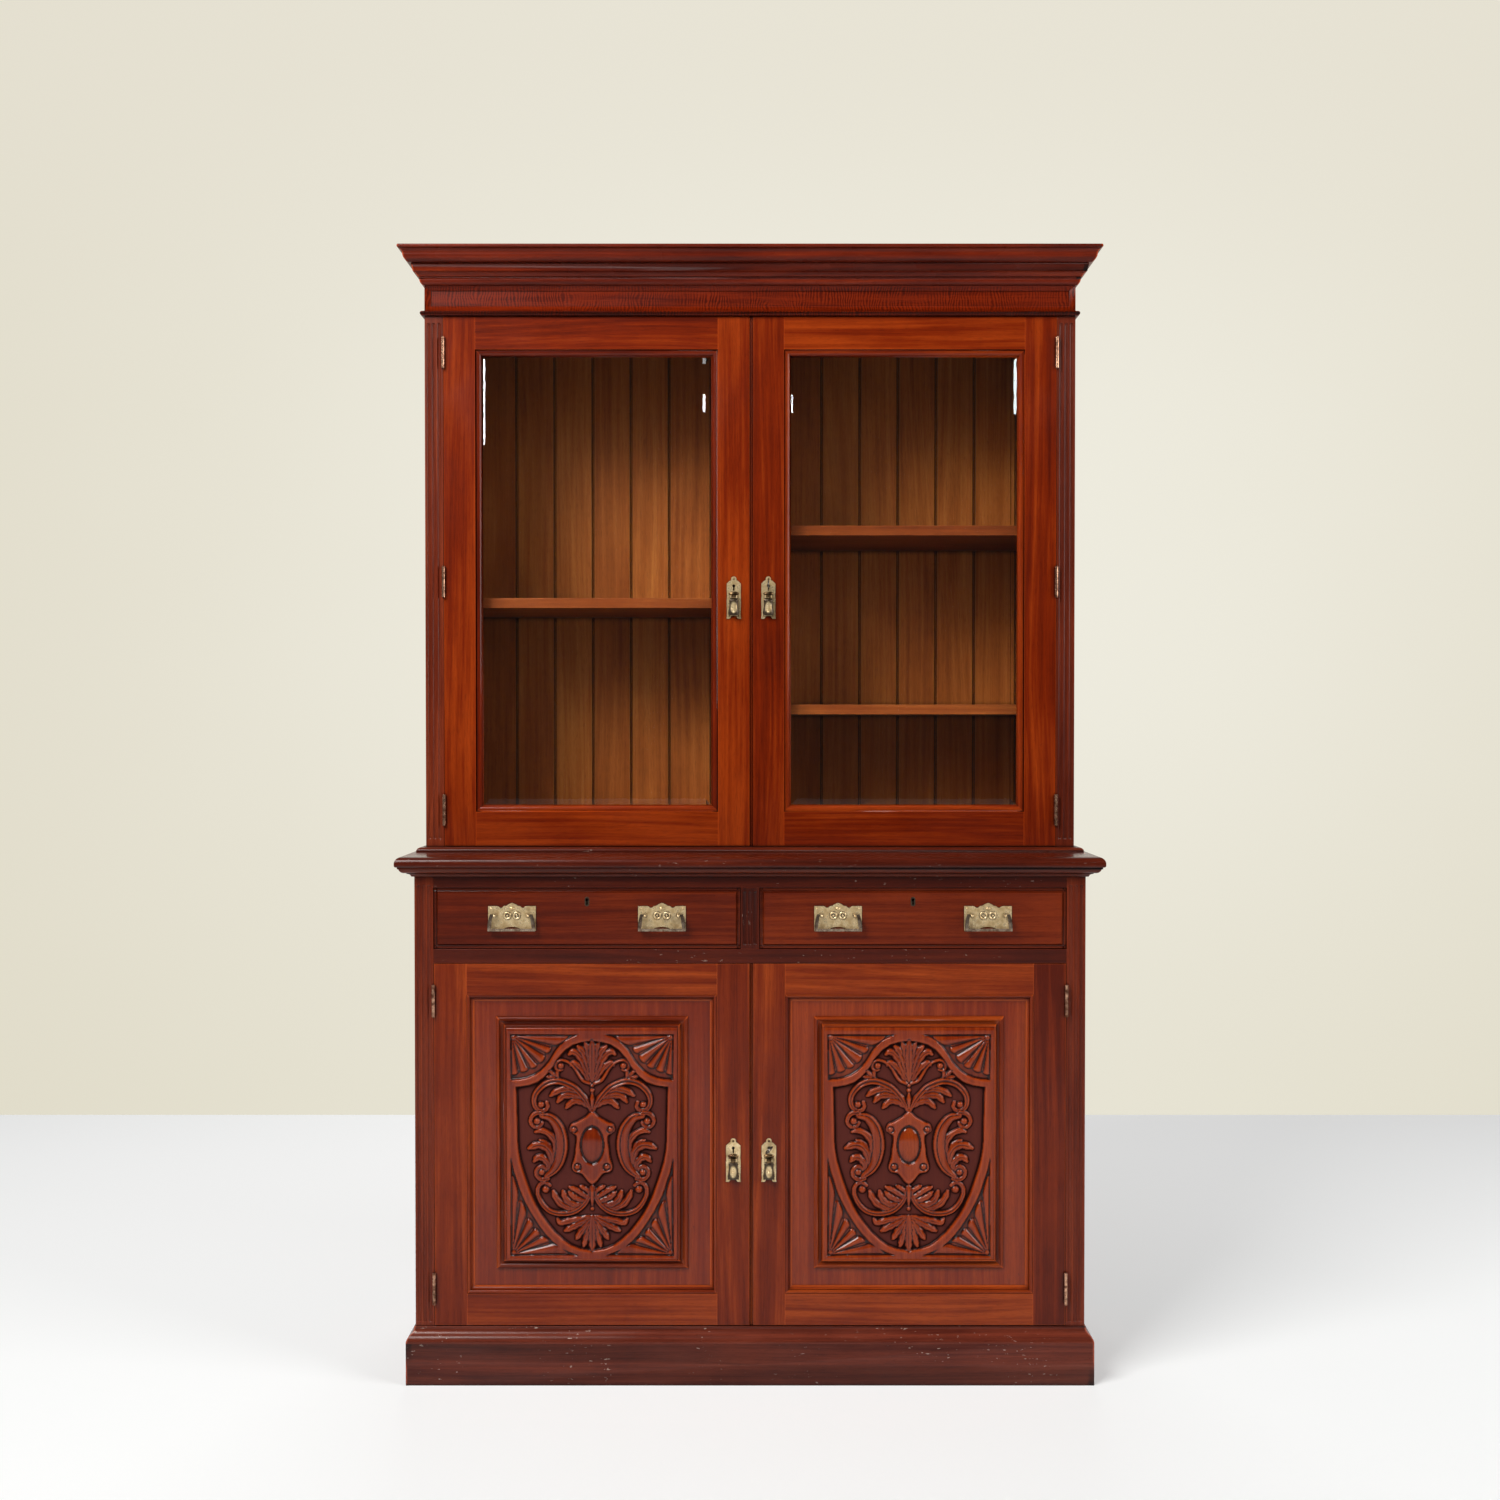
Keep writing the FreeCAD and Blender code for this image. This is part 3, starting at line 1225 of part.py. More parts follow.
def make_glazed_door(word, side):
    name = f"upper_door_{word}"
    z = (upper_door_low, upper_door_high)
    rails = (S.upper_bottom_rail, S.upper_top_rail)
    open_x, open_z, plate_x, edge_x = door_frame(f"{name}_frame", side, upper_front, z, rails, UPPER_HINGES,
                                                 upper_plate_z, None)
    section = [(S.sight_deep * across, S.sight_width * inward, *more) for across, inward, *more in SIGHT]
    sight_y = upper_front + S.sight_inset
    glass_y = sight_y + S.sight_deep
    beads = mitred_frame(f"{name}_sight", section, S.sight_width, open_x, sight_y, open_z)
    bead_deep = upper_front + S.face_thick - glass_y - S.glass_thick
    bead = S.glazing_bead_width
    swell = -math.tan(GLAZING_SWELL * math.atan2(bead_deep.value, bead.value))
    rear = [(0, 0), (0, bead * 0.4, swell), (bead_deep * 0.6, bead), (bead_deep, bead), (bead_deep, 0)]
    beads += mitred_frame(f"{name}_glazing", rear, bead, open_x, glass_y + S.glass_thick, open_z)
    node(f"{name}_beads", *beads)
    pane_x, pane_z = [(low + S.glass_gap, high - S.glass_gap) for low, high in (open_x, open_z)]
    make_glass(f"{name}_glass", pane_x, glass_y, pane_z)
    make_door_fittings(name, side, upper_front, plate_x, edge_x, upper_plate_z, UPPER_HINGES, 0)


def make_glass(label, x, y, z):
    """A plate whose front face is bevelled all round."""
    wide = S.glass_bevel_wide
    bevel_back = y + S.glass_bevel_deep
    bevelled = tapered(label + "_bevelled", (y, bevel_back), (x[0] + wide, x[1] - wide),
                       (z[0] + wide, z[1] - wide), x, z)
    sheet_glass = board(label + "_sheet", x, (bevel_back, y + S.glass_thick), z)
    node(label, fused(label, [bevelled, sheet_glass]))


OUTER_PANEL_MOULDING = [(0, 0), (0.1, 0, -0.3), (0.1, 0.3, -0.3), (0.45, 0.45), (0.45, 0.52, 0.3),
                        (0.9, 0.95), (1, 0.95), (1, 1), (1, 0)]
RAISED_MOULDING = [(1, 0), (0.78, 0, -0.32), (0.3, 0.3), (0.3, 0.36, 0.2), (0.62, 0.66), (0.3, 0.72),
                   (-0.06, 0.8, -0.5), (-0.06, 0.94), (0.1, 1), (1, 1)]

# left half of the shield's sunk ground from the peak down, in shares of the carving's width and height
SHIELD = [(0, 0.475, 0.2), (-0.245, 0.375, 0.04), (-0.34, 0.3, -0.2), (-0.465, 0.262), (-0.462, 0.05, 0.12),
          (-0.3, -0.33, 0.09), (-0.14, -0.45, 0.06), (0, -0.477)]


def make_panel(label, open_x, open_z, front):
    """A fielded panel with a raised block in which a shield-shaped ground is sunk round an oval boss."""
    tongue = S.panel_groove - S.joint_gap
    field_y = front + S.panel_field_sink
    field = board(label + "_field", (open_x[0] - tongue, open_x[1] + tongue),
                  (field_y, field_y + S.panel_field_thick), (open_z[0] - tongue, open_z[1] + tongue))
    face = front + S.raised_sink
    block_x, block_z = [(low + S.raised_moulding_width, high - S.raised_moulding_width)
                        for low, high in raised_span(open_x, open_z)]
    block = board(label + "_block", block_x, (face, field_y), block_z)
    centre = ((block_x[0] + block_x[1]) / 2, face + S.carving_deep,
              (block_z[0] + block_z[1]) / 2 - S.carving_drop)
    left = scaled(SHIELD, S.carving_width, S.carving_high)
    right = []
    for index in range(len(left) - 2, 0, -1):
        bulge = SHIELD[index - 1][2] if len(SHIELD[index - 1]) > 2 else 0
        right.append((-left[index][0], left[index][1], bulge))
    bottom = (*left[-1][:2], SHIELD[-2][2])
    ground = extruded(label + "_ground", "XZ_Plane", left[:-1] + [bottom] + right, S.carving_deep + CUT_PAST,
                      centre)
    solid = cut(label + "_sunk", fused(label + "_board", [field, block]), [ground])
    boss = doc.addObject("Part::Ellipsoid", label + "_boss")
    bind(boss, "Radius1", S.carving_deep)
    bind(boss, "Radius2", S.boss_width / 2)
    bind(boss, "Radius3", S.boss_high / 2)
    boss.Angle1 = -90
    boss.Angle2 = 90
    place(boss, centre, (1, 0, 0), 90)
    node(label, fused(label, [solid, boss]))


def raised_span(open_x, open_z):
    moulding = S.panel_moulding_width
    sides = moulding + S.field_sides
    return ((open_x[0] + sides, open_x[1] - sides),
            (open_z[0] + moulding + S.field_foot, open_z[1] - moulding - S.field_top))


def make_panelled_door(word, side):
    name = f"lower_door_{word}"
    z = (lower_door_low, lower_door_high)
    rails = (S.lower_bottom_rail, S.lower_top_rail)
    field_y = base_front + S.panel_field_sink
    groove = (field_y, field_y + S.panel_field_thick)
    open_x, open_z, plate_x, edge_x = door_frame(f"{name}_frame", side, base_front, z, rails, LOWER_HINGES,
                                                 lower_plate_z, groove)
    make_panel(f"{name}_panel", open_x, open_z, base_front)
    width = S.panel_moulding_width
    deep = S.panel_field_sink
    outer = [(deep * across, width * inward, *more) for across, inward, *more in OUTER_PANEL_MOULDING]
    strips = mitred_frame(f"{name}_outer", outer, width, open_x, base_front, open_z)
    raised = raised_span(open_x, open_z)
    rise = S.panel_field_sink - S.raised_sink
    inner = [(rise * across, S.raised_moulding_width * inward, *more)
             for across, inward, *more in RAISED_MOULDING]
    strips += mitred_frame(f"{name}_inner", inner, S.raised_moulding_width, raised[0],
                           base_front + S.raised_sink, raised[1])
    node(f"{name}_mouldings", *strips)
    make_door_fittings(name, side, base_front, plate_x, edge_x, lower_plate_z, LOWER_HINGES,
                       SIZES["lower_key_turn"])


# ---------------------------------------------------------------- assembly

make_plinth()
make_base_carcase()
make_drawer_runners()
make_base_shelf()
make_base_top()
make_mouldings()
make_upper_carcase()
make_shelves()
make_jamb_leaves()
for side_word, side_sign in SIDES:
    make_drawer(side_word, side_sign)
    make_panelled_door(side_word, side_sign)
    make_glazed_door(side_word, side_sign)
doc.recompute()

# ---------------------------------------------------------------- check and write

faults = []
for thing in doc.Objects:
    if "Invalid" in thing.State or "Error" in thing.State:
        faults.append(f"{thing.Name}: {thing.State}")
for piece in nodes:
    if piece.Shape.isNull() or not piece.Shape.isValid() or not piece.Shape.Solids:
        faults.append(f"{piece.Label}: bad shape")
if faults:
    raise RuntimeError("; ".join(faults[:20]))
os.makedirs("parts", exist_ok=True)
for piece in nodes:
    piece.Shape.exportStep(f"parts/{piece.Label}.step")
    print(piece.Label, len(piece.Shape.Solids), round(piece.Shape.Volume))
print(len(nodes), "nodes")
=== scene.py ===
"""The looks of a glazed mahogany bookcase: polished wood, carved panels, bevelled glass, old brass.

Everything is in metres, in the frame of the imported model. X runs to the viewer's right, Y into the
bookcase and Z up. The carvings and the brass ornament are laid out in millimetres on their own face.
"""

import math
import zlib

import bmesh
import bpy
import numpy as np
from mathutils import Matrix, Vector


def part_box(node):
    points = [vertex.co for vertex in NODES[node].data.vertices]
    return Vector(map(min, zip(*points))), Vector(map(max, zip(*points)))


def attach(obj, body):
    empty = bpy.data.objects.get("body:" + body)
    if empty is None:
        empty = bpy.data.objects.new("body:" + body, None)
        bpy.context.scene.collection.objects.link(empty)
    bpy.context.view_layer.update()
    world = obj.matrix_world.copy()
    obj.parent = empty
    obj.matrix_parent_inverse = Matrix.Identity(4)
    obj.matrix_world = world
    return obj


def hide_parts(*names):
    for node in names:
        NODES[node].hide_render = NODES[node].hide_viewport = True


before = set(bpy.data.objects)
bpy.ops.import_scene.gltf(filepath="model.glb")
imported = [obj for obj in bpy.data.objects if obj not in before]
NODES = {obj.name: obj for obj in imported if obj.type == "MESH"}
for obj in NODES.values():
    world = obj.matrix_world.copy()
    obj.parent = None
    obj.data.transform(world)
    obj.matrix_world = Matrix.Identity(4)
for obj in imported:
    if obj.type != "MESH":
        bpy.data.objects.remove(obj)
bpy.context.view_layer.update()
MM = 0.001
SCENE = bpy.context.scene


# ---- camera, stage and light

CAMERA_AT = (0, -3.311, 1.298)
CAMERA_PITCH = math.radians(90 - 0.89)
CAMERA_LENS = 37.87
WALL_Y = 1.93
STAGE_HALF = 14
WALL_HIGH = 9
WALL_LIGHT_POOL_X = 0.35
FLOOR_LIFT = (0.22, 0.4)  # how much lighter than its paint the floor shows, in front and behind
FLOOR_DEPTH = (-1.6, 1.6)
WHITE = (1, 1, 1, 1)


def placed(name, data):
    """A new object in the scene."""
    made = bpy.data.objects.new(name, data)
    SCENE.collection.objects.link(made)
    return made


def make_camera():
    data = bpy.data.cameras.new("camera")
    data.lens = CAMERA_LENS
    SCENE.camera = placed("camera", data)
    SCENE.camera.location = CAMERA_AT
    SCENE.camera.rotation_euler = (CAMERA_PITCH, 0, 0)


def srgb(red, green, blue):
    """A colour written as 0 to 255, as linear values."""
    values = []
    for channel in (red, green, blue):
        share = channel / 255
        values.append(share / 12.92 if share <= 0.04045 else ((share + 0.055) / 1.055) ** 2.4)
    return (*values, 1)


def smooth(share):
    share = np.clip(share, 0, 1)
    return share * share * (3 - 2 * share)


class Tree:
    """A short way to write the nodes of a new material, or of the world."""

    def __init__(self, name, world=False):
        self.owner = (bpy.data.worlds if world else bpy.data.materials).new(name)
        self.owner.use_nodes = True
        self.nodes = self.owner.node_tree.nodes
        self.links = self.owner.node_tree.links
        self.nodes.clear()
        self.output = self.add("OutputWorld" if world else "OutputMaterial")

    def add(self, kind, inputs=None, **settings):
        """Makes a node; an input is a plain value or another node's output."""
        made = self.nodes.new("ShaderNode" + kind)
        for key, value in settings.items():
            setattr(made, key, value)
        for key, value in (inputs or {}).items():
            self.feed(made.inputs[key], value)
        return made

    def feed(self, socket, value):
        if isinstance(value, bpy.types.NodeSocket):
            self.links.new(value, socket)
        else:
            socket.default_value = value

    def math(self, operation, first, second=0):
        return self.add("Math", {0: first, 1: second}, operation=operation).outputs[0]

    def plus(self, first, second):
        return self.math("ADD", first, second)

    def times(self, first, second):
        return self.math("MULTIPLY", first, second)

    def attribute(self, name, word="Fac"):
        return self.add("Attribute", attribute_name=name).outputs[word]

    def open_share(self, distance, inside=False):
        """How much of the surroundings within a distance is open, outside or inside the piece."""
        made = self.add("AmbientOcclusion", {"Distance": distance}, samples=AO_SAMPLES, inside=inside)
        return made.outputs["AO"]

    def ramp(self, factor, low, high, start=0, end=1):
        """Maps a value from low..high to start..end, with soft ends."""
        made = self.add("MapRange", {"Value": factor, "From Min": low, "From Max": high, "To Min": start,
                                     "To Max": end}, interpolation_type="SMOOTHSTEP")
        return made.outputs["Result"]

    def mix(self, factor, first, second):
        """Two colours by a share of the second; the Mix node's colours are its inputs 6 and 7."""
        return self.add("Mix", {0: factor, 6: first, 7: second}, data_type="RGBA").outputs[2]

    def noise(self, vector, scale, detail=2, roughness=0.5):
        """Cloudy values; a pair of scales is the one along the grain and the one across it."""
        if isinstance(scale, tuple):
            along, across = scale
            vector = self.add("VectorMath", {0: vector, 1: (along, across, across)},
                              operation="MULTIPLY").outputs["Vector"]
            scale = 1
        made = self.add("TexNoise", {"Vector": vector, "Scale": scale, "Detail": detail,
                                     "Roughness": roughness})
        return made.outputs["Fac"]

    def finish(self, shader):
        self.links.new(shader, self.output.inputs["Surface"])
        return self.owner


def new_piece(name, points, faces, material):
    mesh = bpy.data.meshes.new(name)
    mesh.from_pydata(points, [], faces)
    mesh.materials.append(material)
    return placed(name, mesh)


def store(piece, name, values, domain="CORNER"):
    """Keeps a number, or three, for each corner or point of a piece's mesh."""
    values = np.asarray(values, np.float32)
    kind, word = ("FLOAT", "value") if values.ndim == 1 else ("FLOAT_VECTOR", "vector")
    piece.data.attributes.new(name, kind, domain).data.foreach_set(word, values.ravel())


def stage_sheet(name, corners, material):
    sheet = new_piece(name, corners, [(0, 1, 2, 3)], material)
    return sheet


def seen_directly(tree):
    """1 for rays that show the stage to the camera, also by way of gloss or glass."""
    path = tree.add("LightPath").outputs
    either = tree.math("MAXIMUM", path["Is Camera Ray"], path["Is Glossy Ray"])
    return tree.math("MAXIMUM", either, path["Is Transmission Ray"])


def wall_paint():
    """A cream wall that only its front shows, with painted light: its glow is lightest in the middle and
    darker to the sides, low down and high up.
    """
    tree = Tree("wall_paint")
    place = tree.add("NewGeometry").outputs["Position"]
    parts = tree.add("SeparateXYZ", {0: place}).outputs
    middle = tree.math("ABSOLUTE", tree.math("SUBTRACT", parts["X"], WALL_LIGHT_POOL_X))
    drift = tree.times(tree.math("SUBTRACT", tree.noise(place, 0.9), 0.5), 0.5)
    # painted light: a pool of light round the middle that falls off to the sides, low down and high up
    aside = tree.ramp(tree.plus(middle, drift), 0.4, 3.4)
    colour = tree.mix(aside, srgb(238, 235, 222), srgb(226, 221, 204))
    colour = tree.mix(tree.ramp(parts["Z"], 0, 1.6, 0.5, 0), colour, srgb(224, 219, 200))
    colour = tree.mix(tree.ramp(parts["Z"], 2.2, 3.6, 0, 0.7), colour, srgb(229, 224, 209))
    glow = tree.add("Emission", {"Color": colour}).outputs[0]
    matt = tree.add("BsdfDiffuse", {"Color": srgb(235, 231, 215)}).outputs[0]
    front = tree.add("MixShader", {0: seen_directly(tree), 1: matt, 2: glow}).outputs[0]
    clear = tree.add("BsdfTransparent").outputs[0]
    behind = tree.add("NewGeometry").outputs["Backfacing"]
    return tree.finish(tree.add("MixShader", {0: behind, 1: front, 2: clear}).outputs[0])


def floor_paint():
    """White paint that keeps the shadows and looks a little lighter than the lamps make it."""
    tree = Tree("floor_paint")
    matt = tree.add("BsdfDiffuse", {"Color": srgb(217, 219, 220)}).outputs[0]
    place = tree.add("NewGeometry").outputs["Position"]
    depth = tree.add("SeparateXYZ", {0: place}).outputs["Y"]
    lift = tree.times(seen_directly(tree), tree.ramp(depth, *FLOOR_DEPTH, *FLOOR_LIFT))
    glow = tree.add("Emission", {"Color": WHITE, "Strength": lift}).outputs[0]
    return tree.finish(tree.add("AddShader", {0: matt, 1: glow}).outputs[0])


def make_stage():
    wide = STAGE_HALF
    stage_sheet("floor", [(-wide, -wide, 0), (wide, -wide, 0), (wide, wide, 0), (-wide, wide, 0)],
                floor_paint())
    wall = stage_sheet("wall", [(-wide, WALL_Y, 0), (wide, WALL_Y, 0), (wide, WALL_Y, WALL_HIGH),
                                (-wide, WALL_Y, WALL_HIGH)], wall_paint())
    wall.visible_shadow = False
    wall.visible_diffuse = False


WARM = (1, 0.985, 0.96)
LAMPS = {  # place, what it points at, width, height, power and colour
    "key_left": ((-2.3, -2.7, 4.15), (0, 0, 1), 2.5, 2, 232, WARM),
    "fill_right": ((3.4, -1.7, 2.6), (0, 0, 1), 2, 2.4, 84, WARM),
    "back_fill": ((0, 4.2, 3.2), (0, 0.2, 1), 3, 2, 60, (1, 0.99, 0.97)),
    # narrow strips whose only work is the glints on the bevels of the panes
    "glint_left": ((-1.443, -3.2, 2.62), (-1.443, 0, 2.62), 0.03, 0.36, 1.5, (1, 1, 1)),
    "glint_right": ((1.443, -3.2, 2.68), (1.443, 0, 2.68), 0.04, 0.24, 0.8, (0.9, 1, 1)),
    "glint_middle": ((-0.183, -3.2, 2.59), (-0.183, 0, 2.59), 0.012, 0.07, 0.07, (1, 1, 1)),
}
WORLD_LIGHT = 0.03
WORLD_SEEN = srgb(228, 225, 210)


def make_light():
    for name, (place, target, wide, high, power, colour) in LAMPS.items():
        data = bpy.data.lights.new(name, "AREA")
        data.shape = "RECTANGLE"
        data.size = wide
        data.size_y = high
        data.energy = power
        data.color = colour
        lamp = placed(name, data)
        lamp.location = place
        lamp.rotation_euler = (Vector(target) - Vector(place)).to_track_quat("-Z", "Y").to_euler()
    tree = Tree("studio", world=True)
    seen = tree.add("LightPath").outputs["Is Camera Ray"]
    dim = tree.add("Background", {"Color": WHITE, "Strength": WORLD_LIGHT}).outputs[0]
    pale = tree.add("Background", {"Color": WORLD_SEEN}).outputs[0]
    SCENE.world = tree.finish(tree.add("MixShader", {0: seen, 1: dim, 2: pale}).outputs[0])


# ---- wood and metal

AO_SAMPLES = 6
RING_SCALE = (26.0, 11.0, 3.2)  # year rings: across the board, through it, and how far they sway
CURL_SCALE = (1050.0, 34.0)  # curl: radians in a metre, and how far its bars waver
EDGE_THIN = 0.0025
BRASS_REACH = 0.005
DENT = srgb(24, 12, 12)
CHIP = srgb(205, 180, 165)
GROUND_SHADE = srgb(80, 42, 39)
TARNISH = srgb(74, 46, 30)
# dark brown of the painted shade, with tarnish, in brass recesses; below it the dark of dull metal and of
# painted shade and dark reflection
BRASS_SHADE_AND_TARNISH = srgb(34, 20, 14)
DULL_AND_SHADE_METAL = srgb(44, 30, 26)


def read(items, word, kind=np.int32, wide=1):
    """One property of all vertices, loops or polygons of a mesh."""
    values = np.empty(len(items) * wide, kind)
    items.foreach_get(word, values)
    return values


def points_of(mesh):
    return read(mesh.vertices, "co", np.float32, 3).reshape(-1, 3)


def solids_of(mesh):
    """Lists of polygon indices, one per closed solid: a solid ends when each edge has been met twice."""
    _, same = np.unique(np.round(points_of(mesh), 5), axis=0, return_inverse=True)
    same = same.ravel().tolist()
    unmatched = set()
    runs = []
    current = []
    for polygon in mesh.polygons:
        corners = [same[v] for v in polygon.vertices]
        for first, second in zip(corners, corners[1:] + corners[:1]):
            if first != second:
                unmatched ^= {(min(first, second), max(first, second))}
        current.append(polygon.index)
        if not unmatched:
            runs.append(current)
            current = []
    if current:
        runs.append(current)
    return runs


def lay_grain(piece, whole=False):
    """Gives each board of a piece its own cut of wood: where each corner lies in it, and a tone."""
    mesh = piece.data
    co = points_of(mesh)
    loop_vertex = read(mesh.loops, "vertex_index")
    starts = read(mesh.polygons, "loop_start")
    totals = read(mesh.polygons, "loop_total")
    place = np.zeros((len(mesh.loops), 3), np.float32)
    tone = np.zeros(len(mesh.loops), np.float32)
    random = np.random.RandomState(zlib.crc32(piece.name.encode()) % 100000)
    for run in [range(len(mesh.polygons))] if whole else solids_of(mesh):
        loops = np.concatenate([np.arange(starts[i], starts[i] + totals[i]) for i in run])
        points = co[loop_vertex[loops]]
        size = points.max(0) - points.min(0)
        order = np.argsort(-size)
        place[loops] = points[:, order] - points.min(0)[order] + random.uniform(0, 9, 3)
        tone[loops] = random.uniform(0, 1)
    store(piece, "grain", place)
    store(piece, "tone", tone)


def figure_of(tree, grain, tone, tones, ripple):
    """How light the wood is: rings, blotches and streaks along the board, curl, and the board's own tone."""
    across, through, swing = RING_SCALE
    sway = tree.noise(grain, (0.9, 2.5), 1)
    parts = tree.add("SeparateXYZ", {0: grain}).outputs
    ring_at = tree.plus(tree.times(parts["Y"], across), tree.times(sway, swing))
    ring_at = tree.plus(ring_at, tree.times(parts["Z"], through))
    rings = tree.add("TexNoise", {"W": ring_at, "Scale": 2.2, "Detail": 3, "Roughness": 0.65},
                     noise_dimensions="1D").outputs["Fac"]
    blotch = tree.noise(grain, (2.6, 8), 4, 0.6)
    streaks = tree.noise(grain, (3, 110), 4, 0.65)
    figure = tree.plus(tree.times(rings, 0.26), tree.times(blotch, 0.4))
    figure = tree.plus(figure, tree.times(streaks, 0.34))
    if ripple:
        turns, wander = CURL_SCALE
        waver = tree.times(tree.noise(grain, (26, 16), 3), wander)
        bars = tree.math("SINE", tree.plus(tree.times(parts["X"], turns), waver))
        patch = tree.ramp(tree.noise(grain, (14, 30)), 0.34, 0.62, 0.15)
        figure = tree.plus(figure, tree.times(tree.times(bars, patch), ripple))
    shift = tree.times(tree.math("SUBTRACT", tone, 0.5), tones)
    return tree.plus(figure, shift), streaks


def in_shades(tree, figure, dark, middle, light, spread):
    """The wood's three shades over its figure."""
    scale = tree.add("ValToRGB", {"Fac": figure})
    stops = scale.color_ramp.elements
    stops[0].position = 0.5 - spread
    stops[0].color = dark
    stops[1].position = 0.5 + spread
    stops[1].color = light
    stops.new(0.5).color = middle
    return scale.outputs["Color"]


def scaled(colour, share):
    return tuple(share * part for part in colour[:3]) + (1,)


def with_marks(tree, colour, grain, worn):
    """Small dark dents all over and, on a worn piece, pale chips and scuffs in patches."""
    spots = tree.noise(grain, (70, 120), 3, 0.75)
    colour = tree.mix(tree.ramp(spots, 0.72, 0.76, 0, 0.6), colour, DENT)
    if not worn:
        return colour
    nicks = tree.noise(grain, (55, 190), 3, 0.7)
    patches = tree.noise(grain, 7)
    chip = tree.times(tree.ramp(nicks, 0.655, 0.69), tree.ramp(patches, 0.48, 0.6))
    return tree.mix(tree.times(chip, worn), colour, CHIP)


def shade_and_dirt_in_recesses(tree, colour, shade_and_soot, grime, reach):
    """Painted shade, with dirt and old polish, that darkens the surface where it is hemmed in."""
    return tree.mix(tree.ramp(tree.open_share(reach), 0.4, 0.94, grime, 0), colour, shade_and_soot)


def worn_and_highlit_edges(tree, colour, light, rubbed):
    """Edges made paler, as wear from handling and as a painted highlight: where the wood behind the surface
    is thin.
    """
    thick = tree.ramp(tree.open_share(EDGE_THIN, inside=True), 0.3, 0.85, rubbed, 0)
    return tree.mix(thick, colour, scaled(light, 1.7))


def on_carving(tree, colour, light, shade_and_soot, grime):
    """A dark matted ground, painted shade and dirt in the cuts, and high parts made paler as wear and as a
    painted highlight, from the relief's own heights.
    """
    shade = {word: tree.attribute(word) for word in ("matted", "hollow", "high")}
    colour = tree.mix(tree.times(shade["matted"], 0.86), colour, GROUND_SHADE)
    # painted highlight, with wear, on the high parts
    colour = tree.mix(tree.times(shade["high"], 0.50), colour, scaled(light, 1.4))
    # painted shade, with dirt, in the cuts
    return tree.mix(tree.times(shade["hollow"], grime), colour, shade_and_soot), shade["matted"]


def wood(name, dark, middle, light, tones=0.16, ripple=0, coat=0.8, polish=0.17, grime=0.9, reach=0.01,
         rubbed=0.5, worn=0, carved=False, spread=0.17):
    """Polished mahogany in three shades, with its grain along each board."""
    tree = Tree(name)
    grain = tree.attribute("grain", "Vector")
    tone = tree.attribute("tone")
    figure, streaks = figure_of(tree, grain, tone, tones, ripple)
    colour = in_shades(tree, figure, dark, middle, light, spread)
    pores = tree.noise(grain, (55, 900), 1)
    colour = tree.mix(tree.ramp(pores, 0.36, 0.44, 0.22, 0), colour, scaled(dark, 0.25))
    gloss = tree.noise(grain, (6, 14), 3)
    rough = tree.ramp(gloss, 0.3, 0.7, polish - 0.04, polish + 0.08)
    height = tree.plus(tree.times(pores, 0.5), tree.times(streaks, 0.5))
    height = tree.plus(height, tree.times(tree.noise(grain, 28), 1.2))
    colour = with_marks(tree, colour, grain, worn)
    # the colour of the painted shade and dirt in recesses and cuts
    shade_and_soot = scaled(dark, 0.1)
    if carved:
        colour, matted = on_carving(tree, colour, light, shade_and_soot, grime)
        rough = tree.plus(rough, tree.times(matted, 0.3))
        coat = tree.times(tree.math("SUBTRACT", 1, matted), coat)
        punch = tree.noise(grain, (420, 420), 2, 0.6)
        height = tree.plus(height, tree.times(tree.times(punch, matted), 5))
    else:
        # paler edges as wear and painted highlight, then painted shade and dirt in the recesses
        colour = worn_and_highlit_edges(tree, colour, light, rubbed)
        colour = shade_and_dirt_in_recesses(tree, colour, shade_and_soot, grime, reach)
    bump = tree.add("Bump", {"Strength": 0.10, "Distance": 0.0006, "Height": height}).outputs["Normal"]
    shader = tree.add("BsdfPrincipled", {"Base Color": colour, "Roughness": 0.5, "Normal": bump,
                                         "IOR": 1.45, "Specular IOR Level": 0.06, "Coat Weight": coat,
                                         "Coat Roughness": rough, "Coat IOR": 1.38})
    return tree.finish(shader.outputs[0])


def brass(name, colour, shade, rough, metal, tarnish):
    """Old metal: cloudy, dark in tarnished patches, darkened in its recesses by painted shade and tarnish,
    and darkened where it is marked, as dull metal and as painted shade and dark reflection.
    """
    tree = Tree(name)
    place = tree.add("TexCoord").outputs["Object"]
    cloud = tree.noise(place, 90, 4, 0.6)
    fine = tree.noise(place, 900)
    mixed = tree.mix(tree.ramp(cloud, 0.35, 0.7), colour, shade)
    patch = tree.ramp(tree.noise(place, 26, 5, 0.7), 0.5, 0.68, 0, tarnish)
    mixed = tree.mix(patch, mixed, TARNISH)
    # painted shade, with tarnish, in the recesses
    deep = tree.ramp(tree.open_share(BRASS_REACH), 0.35, 0.92, 0.95, 0)
    mixed = tree.mix(deep, mixed, BRASS_SHADE_AND_TARNISH)
    # dull metal, and painted shade and dark reflection, where the mesh marks them
    dull = tree.attribute("dull")
    mixed = tree.mix(tree.times(dull, 0.94), mixed, DULL_AND_SHADE_METAL)
    roughness = tree.ramp(cloud, 0.2, 0.8, rough - 0.06, rough + 0.12)
    bump = tree.add("Bump", {"Strength": 0.15, "Distance": 0.0003, "Height": fine}).outputs["Normal"]
    shader = tree.add("BsdfPrincipled", {"Base Color": mixed, "Roughness": roughness, "Metallic": metal,
                                         "Normal": bump})
    return tree.finish(shader.outputs[0])


